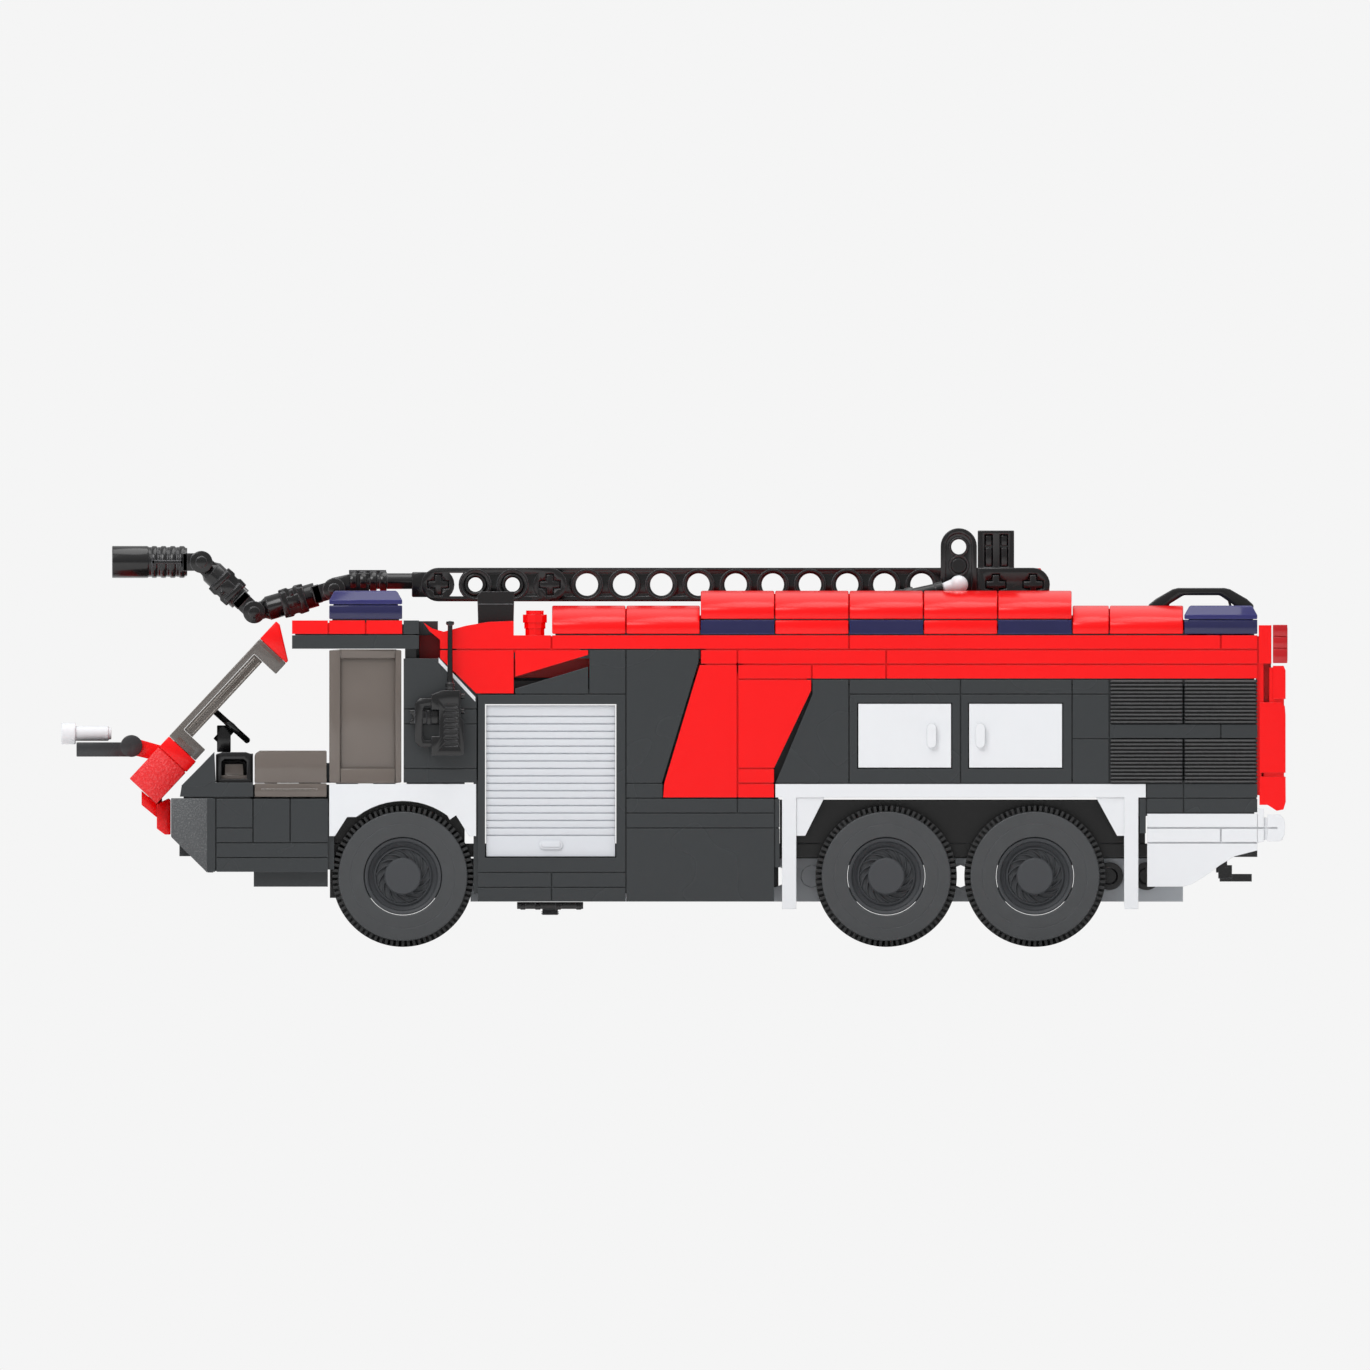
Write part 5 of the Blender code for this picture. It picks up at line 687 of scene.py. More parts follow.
def pipe_link(name, node, start, end, bar):
    """Fork, barrel with a stepped collar, tongue, and a waisted clip with a bar low or high on its side."""
    ends = (along(start[0]), up(start[1])), (along(end[0]), up(end[1]))
    shape = Local(*ends)
    length = shape.length
    shape.fork(0.0046)
    shape.box(0.0030, 0.0047, -0.0036, 0.0036, -0.0020, 0.0020)
    shape.prism([(length - 0.0050, -0.0020), (length - 0.0004, -0.0019), (length - 0.0004, 0.0019),
                 (length - 0.0050, 0.0020)], -0.0016, 0.0016)
    shape.rod(shape.at(length, -KNUCKLE_HALF), shape.at(length, KNUCKLE_HALF), KNUCKLE_RADIUS, 32)
    shape.piece(name + "_joints", "black", node, (node,), bevel=0.0002)
    barrel = Local(*ends)
    barrel.rod(barrel.at(0.0040, 0), barrel.at(length - 0.0030, 0), 0.0026, 32)
    barrel.rod(barrel.at(length - 0.0032, 0), barrel.at(length - 0.0018, 0), 0.0026, 32, 0.0018)
    barrel.piece(name + "_barrel", "black", node, bevel=0.0001, smooth=40)
    clip = Local(*ends)
    m = length / 2 + 0.0001
    for u0, u1 in ((m - 0.0025, m - 0.0013), (m + 0.0013, m + 0.0025)):
        clip.box(u0, u1, 0.0024, 0.0033, -0.0024, 0.0024)
    clip.box(m - 0.0013, m + 0.0013, 0.0024, 0.0031, -0.0012, 0.0012)
    clip.box(m - 0.0004, m + 0.0004, 0.0024, 0.0033, *bar)
    clip.twin()
    half = [(0.0027, 0.0031), (0.0008, 0.0032), (0.0005, 0.0028)]
    top = half + [(-u, w) for u, w in half[::-1]]
    clip.prism([(m + u, w) for u, w in top] + [(m - u, -w) for u, w in top], -0.0028, 0.0028)
    clip.piece(name + "_clip", "black", node, bevel=0.00022)


def nozzle_piece():
    """Spout with its cone, ribbed part and smooth open tube."""
    x, z = along(HINGES[2][0]), up(HINGES[2][1])
    joint = Local((x, z), (x + 0.02, z))
    joint.fork(0.0040)
    joint.box(0.0030, 0.0044, -0.0036, 0.0036, -0.0020, 0.0020)
    joint.piece("spout_joint", "black", "nozzle", ("nozzle",), bevel=0.0002)
    a, b, tip = (along(k) - x for k in (28.85, 29.84, 30.82))
    profile = [(0.0, 0.0032), (0.0022, 0.0032), (0.0030, a - 0.0004)]
    pitch = (b - a) / 4
    for i in range(4):
        u = a + pitch * i
        profile += [(0.0031, u), (0.00335, u + 0.0002), (0.00345, u + 0.0004), (0.00345, u + pitch * 0.55),
                    (0.00335, u + pitch * 0.55 + 0.0002), (0.00322, u + pitch * 0.68),
                    (0.00322, u + pitch * 0.95)]
    profile += [(0.0033, b), (0.00345, b + 0.0003), (0.00345, tip - 0.0001), (0.00335, tip), (0.0029, tip),
                (0.0028, tip - 0.0003), (0.0026, b), (0.0, b - 0.0002)]
    tube = Shape().box(x + a + 0.0006, x + b - 0.0008, 0.0026, 0.0036, z - 0.0003, z + 0.0003)
    for u in (a + 0.0006, b - 0.0012):
        tube.box(x + u, x + u + 0.0004, 0.0026, 0.0036, z - 0.0010, z + 0.0010)
    tube.twin().turn(profile, (x, 0, z), axis=(1, 0, 0), sides=48)
    tube.piece("spout_tube", "black", "nozzle", smooth=35)


def lift_pieces():
    """Lift cylinders: barrels with gland and foot eye on one cross pin, pale ball-ended rods."""
    foot = Vector((along(11.08), 0, 0.0726))
    head = Vector((along(TOWER_AT), 0, BOOM_LEVEL))
    line = (head - foot).normalized()
    offset = Vector((0, 0.0115, 0))
    profile = [(0.0, -0.0009), (0.0014, -0.0009), (0.0018, -0.0004), (0.0018, 0.0125), (0.00165, 0.0126),
               (0.00165, 0.0131), (0.00178, 0.0132), (0.00178, 0.0147), (0.0016, 0.0150), (0.0012, 0.0150),
               (0.0012, 0.0060), (0.0, 0.0060)]
    barrels = Shape().rod(foot - offset, foot + offset, 0.0009, 20)
    for name, side in (("left", 1), ("right", -1)):
        base = foot + offset * side
        eye = head + offset * side
        barrels.turn(profile, base, axis=line)
        barrels.rod(base - offset * 0.17 * side, base + offset * 0.09 * side, 0.0013, 20)
        stem = Shape().rod(base + line * 0.0062, eye - line * 0.0035, 0.00135, 24)
        stem.rod(eye - line * 0.0050, eye - line * 0.0034, 0.0015, 24)
        stem.piece("lift_rod_stem_" + name, "black", "lift_rods", smooth=40)
        rod = Shape().rod(eye - line * 0.0036, eye - line * 0.0014, 0.00105, 24)
        rod.turn(arc(0, 0, 0.0020, -90, 90, 12), eye, axis=line)
        rod.rod(eye - line * 0.0032, eye - line * 0.0012, 0.0011, 24, 0.0015)
        rod.piece("lift_ball_rod_" + name, "grey", "lift_rods", ("lift_rod_" + name,), smooth=40,
                  look="white")
    barrels.piece("lift_cylinder_barrels", "black", "lift_barrels", ("lift_barrels",), smooth=35)


hole_lips = Shape()
boom_beam(hole_lips)
boom_front_plates(hole_lips)
hole_lips.twin().piece("boom_hole_lips", "black", "boom")
boom_tower()
boom_hinge()
boom_pipe()
pipe_link("pipe_rear", "arm_rear", HINGES[0], HINGES[1], (0.0012, 0.0024))
pipe_link("pipe_front", "arm_front", HINGES[1], HINGES[2], (-0.0024, -0.0012))
nozzle_piece()
lift_pieces()


# slabs behind the joints between pieces, so that no light shows through them
# Along from, along to, reach across, up from, up to
CORE_SLABS = ((0.1, 16.9, 0.0150, 10.2, 20.6), (12.9, 16.9, 0.0150, 3.4, 10.4),
              (17.0, 21.9, 0.0150, 17.2, 20.6),
              (17.1, 20.9, 0.0150, 3.4, 6.6), (21.1, 27.9, 0.0150, 9.4, 10.8), (25.1, 28.1, 0.0150, 5.2, 9.6),
              (21.4, 22.9, 0.0200, 10.5, 19.8), (22.7, 25.9, 0.0300, 20.3, 21.7),
              (2.2, 21.1, 0.0150, 5.7, 6.4))
# Along from, along to, up from, up to, just inside both side walls
CORE_STRIPS = ((0.2, 15.1, 17.7, 18.3), (15.0, 21.8, 19.4, 20.4), (20.9, 21.9, 11.2, 19.0),
               (0.2, 18.9, 20.6, 21.3),
               (21.3, 21.95, 18.3, 20.7), (19.1, 22.0, 20.2, 20.9), (16.7, 17.1, 3.6, 19.5),
               (20.85, 21.1, 3.6, 16.8), (10.85, 11.2, 11.2, 17.6), (4.8, 5.2, 11.2, 17.6),
               (5.1, 14.9, 21.7, 22.3), (0.1, 1.9, 20.7, 21.3), (23.1, 24.9, 21.6, 22.3),
               (24.85, 25.1, 5.2, 9.8), (3.1, 12.9, 10.7, 11.3), (0.1, 3.9, 8.8, 11.2))
WALL = 4 * STUD
WALL_FACE = WALL - SEAM / 2


def cores():
    """Slabs that stand in the middle of solid walls, a dark red prow block painted as the shade of its
    recess, and the white stripe along the cab's rear edge.
    """
    core = Shape()
    for k0, k1, n0, n1 in CORE_STRIPS:
        core.grid_box(k0, k1, 0.0256, 0.0309, n0, n1)
    core.twin()
    for k0, k1, reach, n0, n1 in CORE_SLABS:
        core.grid_box(k0, k1, -reach, reach, n0, n1)
    core.piece("wall_cores", "dark", smooth=0)
    tail = Shape().grid_box(-0.15, 0.06, -0.0312, 0.0312, 10.2, 20.9)
    tail.piece("tail_wall_core", "red", smooth=0)
    # painted shade: the prow core is a darker red standing for the shade in its recess
    prow = Shape().grid_box(21.95, 22.56, -0.0262, 0.0262, 19.3, 20.95)
    prow.piece("prow_core", "red", smooth=0, look="deep_red")
    stripe = Shape()
    stripe.grid_prism([(22.04, 19.46), (22.04, 19.12), (21.05, 16.48), (21.05, 16.80)], 0.0300, 0.03192)
    stripe.twin().piece("cab_wall_stripe", "white", smooth=0)


# front: bumper, screen, turret, cab
TILT = math.radians(47.0)
SCREEN_FOOT = (along(29.29), up(14.17))
SCREEN_SIDE = 3 * STUD - SEAM
SCREEN_TOP = PLATE * 9 - SEAM / 2
TURRET_AT = (along(30.30), up(13.51))
TURRET_KNUCKLE = 0.00237
TURRET_INNER = 0.0019


class Leaning(Shape):
    """Shape on the leaning front: depth inwards from the screen's face, height along its lean."""

    def at(self, depth, height):
        x = SCREEN_FOOT[0] - height * math.cos(TILT) - depth * math.sin(TILT)
        z = SCREEN_FOOT[1] + height * math.sin(TILT) - depth * math.cos(TILT)
        return (x, z)

    def lean_prism(self, corners, y0, y1):
        return self.prism([self.at(d, h) for d, h in corners], y0, y1)

    def lean_box(self, d0, d1, h0, h1, y0, y1):
        return self.lean_prism([(d0, h0), (d0, h1), (d1, h1), (d1, h0)], y0, y1)


def bumper():
    """Red block under the screen: smooth upper course, pebbled slope below, turret lug and apron."""
    side, d, h = SCREEN_SIDE, STUD, -PLATE
    block = Leaning()
    block.lean_box(0.0, d, -0.00003, h + 0.0001, -side, side)
    block.lean_box(0.0003, d - 0.0003, h + 0.0006, h * 3.8, -side + 0.0004, side - 0.0004)
    # outlines in studs along and plates up, and half widths in studs
    apron = (([(29.62, 9.6), (29.3, 10.0), (29.245, 9.9), (29.245, 7.55), (29.40, 7.55), (29.62, 7.95)], 2),
             ([(30.0, 11.0), (29.5, 11.0), (29.45, 8.9), (29.62, 8.9)], 0.9),
             ([(30.03, 10.5), (29.62, 9.63), (29.62, 8.7), (30.03, 9.55)], 1))
    for points, half in apron:
        block.grid_prism(points, -half * STUD, half * STUD)
    x, z = TURRET_AT
    reach = TURRET_INNER
    block.cross_rod(x, z, -reach, reach, TURRET_KNUCKLE, 36)
    block.prism([(x, z + 0.0019), (x, z - 0.0019), block.at(0.0027, -0.0051), block.at(0.0027, -0.0013)],
                -reach, reach)
    block.piece("bumper_course", "red", stands_for=("bumper_block",), bevel=0.0002)
    slope = Leaning().lean_box(0.0, d, h - 0.0001, h * 3.9, -side, side)
    slope.piece("bumper_pebbled_slope", "red", bevel=0.0002, look="rough_red")
    # studs of the course under, seen beside the leaning block
    lugs = Leaning()
    x, z = lugs.at(0.004, 0.0)
    profile = [(0.0, -0.0003), (STUD_RADIUS, -0.0003), (STUD_RADIUS, 0.0013), (0.0022, 0.0015), (0.0, 0.0015)]
    for j in (-2.5, -1.5, 1.5, 2.5):
        lugs.turn(profile, (x, j * STUD, z), axis=(-math.cos(TILT), 0, math.sin(TILT)), sides=24)
    lugs.piece("bumper_studs", "red")


def screen():
    """Smoked leaning screen: glass sheet, foot and head flanges, shallow cheeks with raised bars."""
    low, reach = 0.00003, STUD - SEAM
    side, top = SCREEN_SIDE, SCREEN_TOP
    glass = Leaning()
    glass.lean_prism([(0.0, low), (reach, low), (reach, PLATE), (0.0013, PLATE), (0.0013, top - PLATE),
                      (reach, top - PLATE), (reach, top), (0.0, top)], -side, side)
    glass.piece("screen_glass", "smoke", stands_for=("windscreen",), bevel=0.0002, look="screen")
    bars = Leaning()
    bars.lean_box(0.0014, 0.0038, PLATE * 1.02, top - PLATE * 1.02, side - 0.0014, side - 0.0003)
    for depth in (0.0019, 0.0034):
        bars.lean_box(depth, depth + 0.0004, PLATE * 1.2, top - PLATE * 1.2, side - 0.0006, side)
    bars.twin().piece("screen_cheeks", "smoke", bevel=0.0001, look="screen")


def screen_row():
    """Row of small red slopes on the head of the screen."""
    side, base = SCREEN_SIDE, SCREEN_TOP + 0.00004
    crown = base + PLATE * 1.6
    row = Leaning()
    width = side / 3
    for i in range(6):
        y0 = -side + width * i
        row.lean_prism([(0.0, base), (STUD - SEAM, base), (STUD - SEAM, base + PLATE * 0.2),
                        (PLATE * 0.33, crown), (0.0, crown)], y0 + 0.0001, y0 + width - 0.0001)
    row.piece("screen_head_slopes", "red", stands_for=("screen_cap",), bevel=0.00018)
    filler = Leaning()
    filler.lean_prism([(0.0008, base - 0.0009), (STUD - 0.0013, base - 0.0009),
                       (STUD - 0.0013, base + PLATE * 0.18), (PLATE * 0.5, crown - 0.0009),
                       (0.0008, crown - 0.0009)], -side + 0.0006, side - 0.0006)
    filler.piece("screen_head_core", "red", smooth=0)


def turret_piece():
    """Small monitor: dark forked arm with rounded knuckles, pale two-step spout lying on it."""
    x, z = TURRET_AT
    top = z + PLATE / 4
    low = top - 0.0031
    arm = Shape().cross_rod(x, z, 0.0022, 0.0040, TURRET_KNUCKLE, 40)
    arm.box(x, along(31.78), 0.002266, 0.00396, low, top).twin()
    arm.box(along(30.66), along(31.78), -0.0039, 0.0039, low, top)
    arm.piece("turret_arm_body", "dark", "turret", ("turret_arm",), bevel=0.0002)
    a, b, c = (along(k) for k in (30.84, 31.80, 32.19))
    step, end = b - a, c - a
    profile = [(0.0, 0.0), (0.0012, 0.0), (0.0013, 0.0002), (0.0013, 0.0005), (0.0016, 0.0007),
               (0.0016, step), (0.0022, step), (0.00235, step + 0.0002), (0.00235, end - 0.0002),
               (0.0022, end), (0.0017, end),
               (0.0016, end - 0.0002), (0.0015, end - 0.0015), (0.0, end - 0.0015)]
    spout = Shape().turn(profile, (a, 0, top + SEAM + 0.0016), axis=(1, 0, 0), sides=40)
    spout.piece("turret_spout", "white", "turret", ("turret_nozzle",), smooth=35)


def cab_corners():
    """Slanted, pebbled front corners of the cab and their foot blocks."""
    corner = Shape().grid_prism([(29.235, 10.0), (28.26, 10.0), (28.26, 4.98), (29.235, 7.4)], 2 * STUD,
                                WALL_FACE + 0.0001)
    both_sides(corner, "front_corner_slope", "dark", bevel=0.0002, look="rough_dark")
    ramp = Shape().grid_prism([(28.96, 10.84), (28.07, 13.1), (28.07, 11.2), (28.4, 10.7)], 3.55 * STUD,
                              WALL_FACE + 0.00005)
    both_sides(ramp, "ramp_face", "dark")


def cab_inside():
    """Studs and seat blocks on the cab's floor, and cups with their liners."""
    bits = Shape()
    for j in (-1.5, -0.5, 0.5, 1.5):
        for k in (23.5, 24.5, 25.5):
            bits.stud(k, j * STUD, 11.0)
    bits.piece("cab_floor_studs", "dark")
    seats = Shape()
    y = 1.5 * STUD
    # along from, along to, half width, up from, up to
    for k0, k1, half, n0, n1 in ((24.4, 26.3, 0.0072, 11.0, 12.4), (23.6, 24.4, 0.0072, 11.0, 16.5),
                                 (24.42, 24.6, 0.0058, 12.6, 16.2)):
        seats.grid_box(k0, k1, y - half, y + half, n0, n1, 0.0001)
    seats.twin().piece("crew_seats", "dark", bevel=0.0003)
    near, far = 2.62 * STUD, 3.55 * STUD
    outer = [(28.03, 11.05), (28.03, 12.95), (27.86, 13.1), (27.22, 13.1), (27.05, 12.95), (27.05, 11.05)]
    inner = [(27.88, 11.3), (27.88, 12.45), (27.80, 12.62), (27.28, 12.62), (27.20, 12.45), (27.20, 11.3)]
    rings = [[(along(k), y, up(n)) for k, n in points]
             for y, points in ((near, outer), (far, outer), (far, inner), (near * 1.04, inner))]
    Shape().loft(rings).twin().piece("cab_cups", "black", bevel=0.00015)
    near, far = 2.7 * STUD, 3.35 * STUD
    pale = Shape().grid_prism([(27.80, 11.3), (27.78, 12.3), (27.30, 12.3), (27.28, 11.3)], near, far)
    pale.grid_box(27.18, 27.9, near, far * 1.01, 11.25, 11.55)
    pale.twin().piece("cab_cup_liners", "smoke", bevel=0.0001)


def steering():
    """Steering wheel with rim, spokes and boss on its leaning stem."""
    a = math.radians(42)
    way = Vector((-math.sin(a), 0, math.cos(a)))
    start = Vector((along(27.83), 1.6 * STUD, up(14.2)))
    hub_at = start + way * 0.0019
    plane = hub_at + way * 0.0008
    column = Shape().grid_box(27.63, 28.0, 1.3 * STUD, 1.9 * STUD, 13.1, 14.9)
    column.rod(start - way * 0.0019, plane, 0.0012, 20)
    column.piece("steering_column", "black", stands_for=("steering_wheel",), bevel=0.00018)
    wheel = Shape().turn(arc(0.0045, 0.0008, 0.0006, 0, 324, 9, 0.0007), hub_at, axis=way, sides=48)
    wheel.turn([(0.0, 0.0001), (0.0017, 0.0001), (0.0019, 0.0004), (0.0017, 0.0014), (0.0, 0.0016)], hub_at,
               axis=way, sides=24)
    for i in range(3):
        wheel.rod(plane, plane + spoke(way, i / 3) * 0.0044, 0.00055, 12)
    wheel.piece("steering_rim", "black", smooth=60)


def side_window():
    """Smoked panel and sill with their moulded frames."""
    far = WALL_FACE
    k0, k1, n0, n1 = 23.04, 24.98, 11.05, 19.95
    border = Shape()
    for a, b, low, high in ((k0, k0 + 0.17, n0, n1), (k1 - 0.30, k1, n0, n1),
                            (k0 + 0.17, k1 - 0.30, n1 - 0.55, n1),
                            (k0 + 0.17, k1 - 0.30, n0, n0 + 0.95)):
        border.grid_box(a, b, far - 0.0016, far, low, high)
    both_sides(border, "window_frame", "smoke", bevel=0.0002)
    pane = Shape().grid_box(k0 + 0.1, k1 - 0.2, far - 0.0022, far - 0.0009, n0 + 0.5, n1 - 0.3)
    both_sides(pane, "window_pane", "smoke", stands_for=("side_glass",), bevel=0.0001)
    sill = Shape().grid_prism([(25.05, 11.02), (25.05, 13.2), (26.85, 13.2), (26.97, 13.0), (26.99, 12.8),
                               (26.99, 11.02)], far - 0.0018, far)
    both_sides(sill, "window_sill", "smoke", bevel=0.00025)
    shelf = Shape().grid_box(25.05, 26.99, 3 * STUD + SEAM, far, 10.08, 11.0)
    both_sides(shelf, "window_shelf", "smoke", bevel=0.0002)
    marks = Shape().grid_box(25.3, 26.8, far - 0.0001, far + 0.00012, 10.55, 10.66)
    both_sides(marks, "window_shelf_rib", "smoke", look="screen")
    lug = Shape().grid_box(26.36, 26.72, far - 0.0050, far - 0.0024, 11.25, 12.15)
    both_sides(lug, "window_sill_lug", "black", bevel=0.0001)
    studs = Shape().stud(23.6, far - 0.0026, n0).stud(24.45, far - 0.0026, n0)
    both_sides(studs, "window_foot_studs", "smoke")


def radio_piece():
    """Hand radio: rounded body with louvres and knobs, ringed aerial, looped handle and clip jaw."""
    body = Shape().grid_prism([(22.23, 12.86), (22.23, 14.18), (22.02, 14.18), (22.02, 15.96), (22.23, 15.96),
                               (22.23, 16.98), (21.95, 17.26), (21.46, 17.26), (21.44, 15.4), (21.36, 15.2),
                               (21.36, 12.98), (21.42, 12.86)], WALL + 0.0006, WALL + 0.0034)
    cuts = Shape()
    for i in range(8):
        n = 13.60 + 0.376 * i
        louvre = arc(21.85, n, 0.045, -90, 90, 4, 0.11) + arc(21.56, n, 0.045, 90, 270, 4, 0.11)
        cuts.grid_prism(louvre, WALL + 0.0030, WALL + 0.005)
    both_sides(body, "radio_body", "black", stands_for=("radio",), bevel=0.00018, cuts=cuts)
    y = WALL + 0.0020
    # radius, and level in plates
    aerial = ((0.0, 17.2), (0.0010, 17.2), (0.0010, 17.40), (0.0008, 17.44), (0.0010, 17.50), (0.0010, 17.72),
              (0.0007, 17.78), (0.00058, 18.2), (0.00052, 21.62), (0.0008, 21.66), (0.0009, 21.76),
              (0.0008, 21.88), (0.0, 21.92))
    bits = Shape().turn([(r, up(n)) for r, n in aerial], (along(21.73), y, 0), axis=(0, 0, 1), sides=24)
    for n in (15.86, 16.86):
        bits.turn([(0.0, 0.0), (0.00062, 0.0), (0.00062, 0.0007), (0.00045, 0.00085), (0.0, 0.00085)],
                  (along(21.44), y, up(n)), axis=(-1, 0, 0), sides=16)
    both_sides(bits, "radio_aerial", "black", smooth=35)
    handle = Shape()
    handle.grid_prism([(22.0, 13.44), (22.55, 13.44), (22.68, 13.8), (22.68, 16.4), (22.55, 16.74),
                       (22.0, 16.74), (22.0, 16.2), (22.40, 16.2), (22.46, 16.0), (22.46, 14.1),
                       (22.40, 13.9), (22.0, 13.9)],
                      WALL + 0.0006, WALL + 0.0027)
    handle.grid_box(22.24, 22.36, WALL + 0.0002, WALL + 0.0020, 14.95, 15.95)
    handle.grid_prism([(21.9, 15.0), (22.82, 15.0), (22.82, 15.25), (22.74, 15.35), (22.74, 15.6),
                       (22.82, 15.68), (22.82, 15.93), (21.9, 15.93)], WALL + 0.0003, WALL + 0.0016)
    both_sides(handle, "radio_handle", "black", bevel=0.00025)


cores()
bumper()
screen()
screen_row()
turret_piece()
cab_corners()
cab_inside()
steering()
side_window()
radio_piece()


# lamps, roof, sides, tail and underside
EDGE_INNER = 2 * STUD + SEAM / 2
# Along from, along to, up from, up to
ROOF_BRICKS = ((17.0, 19.0, 21.0, 23.0), (15.0, 17.0, 21.0, 23.0), (13.0, 15.0, 22.0, 24.0),
               (11.0, 13.0, 22.0, 24.0), (9.0, 11.0, 22.0, 24.0), (7.0, 9.0, 22.0, 24.0),
               (5.0, 7.0, 22.0, 24.0), (4.0, 5.0, 21.0, 23.0),
               (2.0, 4.0, 21.0, 23.0))
# Photo heights of the shutter's first and last line and of its pull
SHUTTER_LINES_PX = (716.5, 835.4)
SHUTTER_LINES = 17
PULL_PX = 845.0
SHUTTER_FACE = 0.0310


def lamp_pieces():
    """Roof lamps: dark lower block, and a tapered cap with a rounded rim over a fine groove."""
    near, far = EDGE_INNER, WALL_FACE
    for name, k0, k1, n in (("front", 23.0, 25.0, 22.0), ("rear", 0.0, 2.0, 21.0)):
        x0, x1 = along(k0) + SEAM / 2, along(k1) - SEAM / 2
        foot, seam, top = up(n), up(n + 1), up(n + 2)
        base = Shape().box(x0, x1, near, far, foot + 0.00015, seam - 0.00012)
        base.box(x0 + 0.0009, x1 - 0.0009, near + 0.0009, far - 0.0009, seam - 0.0004, seam + 0.0006)
        both_sides(base, name + "_lamp_base", "blue", stands_for=(name + "_lamp",), bevel=0.0002)
        rings = []
        for ease, z in ((0.0001, seam + 0.00012), (0.0, seam + 0.0003), (0.0, seam + 0.0010),
                        (0.0010, top - 0.0004), (0.0014, top - 0.00015)):
            y = near + ease * 0.4
            rings.append([(x0 + ease, y, z), (x1 - ease, y, z), (x1 - ease, far - ease, z),
                          (x0 + ease, far - ease, z)])
        both_sides(Shape().loft(rings), name + "_lamp_cap", "blue", bevel=0.00022, look="lamp_cap", smooth=25)


def slope_pieces():
    """Rounded roof edge: each brick its own body with softened ends."""
    inner, outer = EDGE_INNER, WALL_FACE
    shape = Shape()
    for k0, k1, n0, n1 in ROOF_BRICKS:
        foot = up(n0) + SEAM / 2
        lip = foot + 0.0018
        crown = arc(inner, lip, outer - inner, 0, 90, 12, up(n1) - SEAM / 2 - lip)
        shape.lengthwise([(inner, foot), (outer, foot)] + crown, along(k0) + 0.0001, along(k1) - 0.0001)
    for k0, k1 in ((11.0, 13.0), (7.0, 9.0)):
        shape.grid_box(k0, k1, 3.35 * STUD, outer, 21.0, 22.0, 0.0001)
    both_sides(shape, "roof_edge", "red", stands_for=("roof_slopes",), bevel=0.0003, smooth=28)
    core = Shape()
    for k0, k1, j0, j1, n0, n1 in ((2.1, 18.9, 2.15, 3.3, 20.8, 22.3), (5.1, 14.9, 2.15, 3.3, 22.0, 23.2),
                                   (2.1, 4.9, 2.10, 2.6, 22.2, 22.75), (5.1, 14.9, 2.10, 2.6, 23.0, 23.75),
                                   (15.1, 18.9, 2.10, 2.6, 22.2, 22.75)):
        core.grid_box(k0, k1, j0 * STUD, j1 * STUD, n0, n1)
    both_sides(core, "roof_edge_core", "red", smooth=0)


def rail_pieces():
    """Roof rails: smooth bar with ribbed raked ends on a foot plate, and the studs between them."""
    y0, y1 = 1.5 * STUD, 1.96 * STUD
    hoop = Shape()
    hoop.grid_prism([(2.95, 22.0), (2.95, 23.0), (2.75, 23.4), (2.3, 24.05), (2.15, 24.14), (0.9, 24.14),
                     (0.75, 24.05), (0.3, 23.4), (0.12, 23.0), (0.12, 22.0), (0.52, 22.0), (0.52, 22.7),
                     (0.72, 23.1), (1.0, 23.58), (1.06, 23.64), (1.98, 23.64), (2.04, 23.58), (2.35, 23.1),
                     (2.55, 22.7), (2.55, 22.0)], y0, y1)
    for side, mirror in SIDES:
        hoop.piece("roof_rail_hoop_" + side, "black", stands_for=() if mirror else ("roof_rail",),
                   bevel=0.0003, mirror=mirror)
    ribs = Shape()
    for k, rake in ((2.62, -0.16), (2.48, -0.16), (0.62, 0.16), (0.48, 0.16)):
        ribs.grid_prism([(k, 22.1), (k + 0.07, 22.1), (k + 0.07 + rake, 23.6), (k + rake, 23.6)], y0 + 0.0006,
                        y1 - 0.0006)
    ribs.grid_box(0.0, 3.0, y0, y1, 21.05, 22.05, 0.00015)
    both_sides(ribs, "roof_rail_ribs", "black", bevel=0.00012)
    tie = Shape().grid_box(1.0, 2.0, -1.75 * STUD, 1.75 * STUD, 21.05, 22.0)
    tie.piece("roof_rail_tie", "black", bevel=0.00015)
    studs = Shape()
    for k, n in ((0.5, 21.0), (1.5, 22.0), (2.5, 21.0)):
        studs.stud(k, -0.5 * STUD, n).stud(k, 0.5 * STUD, n)
    studs.piece("tail_deck_studs", "black")


def deck_studs():
    """Studs of the open roof deck between the rounded edges, left free under the boom and its cylinders."""
    studs = Shape()
    for i in range(15):
        k = 3.5 + i
        for j in (-1.5, -0.5, 0.5, 1.5):
            covered = 5.0 < k < (12.6 if abs(j) > 1 else 7.2)
            if not covered:
                studs.stud(k, j * STUD, 21.95 if 5.0 < k < 15.0 else 21.0)
    studs.piece("roof_deck_studs", "red")


def tail_pieces():
    """Clear tail lamps in three ribbed blocks, on a red backing."""
    back, front = -0.79, -0.40
    lamps = Shape()
    for n0, n1 in ((19.08, 20.05), (20.1, 20.85), (20.9, 21.66)):
        lamps.grid_box(back, front, 3.06 * STUD, 3.97 * STUD, n0, n1)
    lamps.grid_box(back + 0.05, front, 3.1 * STUD, 3.93 * STUD, 19.2, 21.5)
    for i in range(5):
        y = (3.14 + 0.16 * i) * STUD
        lamps.grid_box(back - 0.005, back + 0.05, y, y + 0.0004, 19.2, 21.5)
    both_sides(lamps, "tail_lamp_lens", "tail", stands_for=("tail_lamp",), bevel=0.00015)
    backing = Shape().grid_box(-0.36, -0.2, 3.1 * STUD, 3.9 * STUD, 19.3, 21.5)
    both_sides(backing, "tail_lamp_backing", "red")


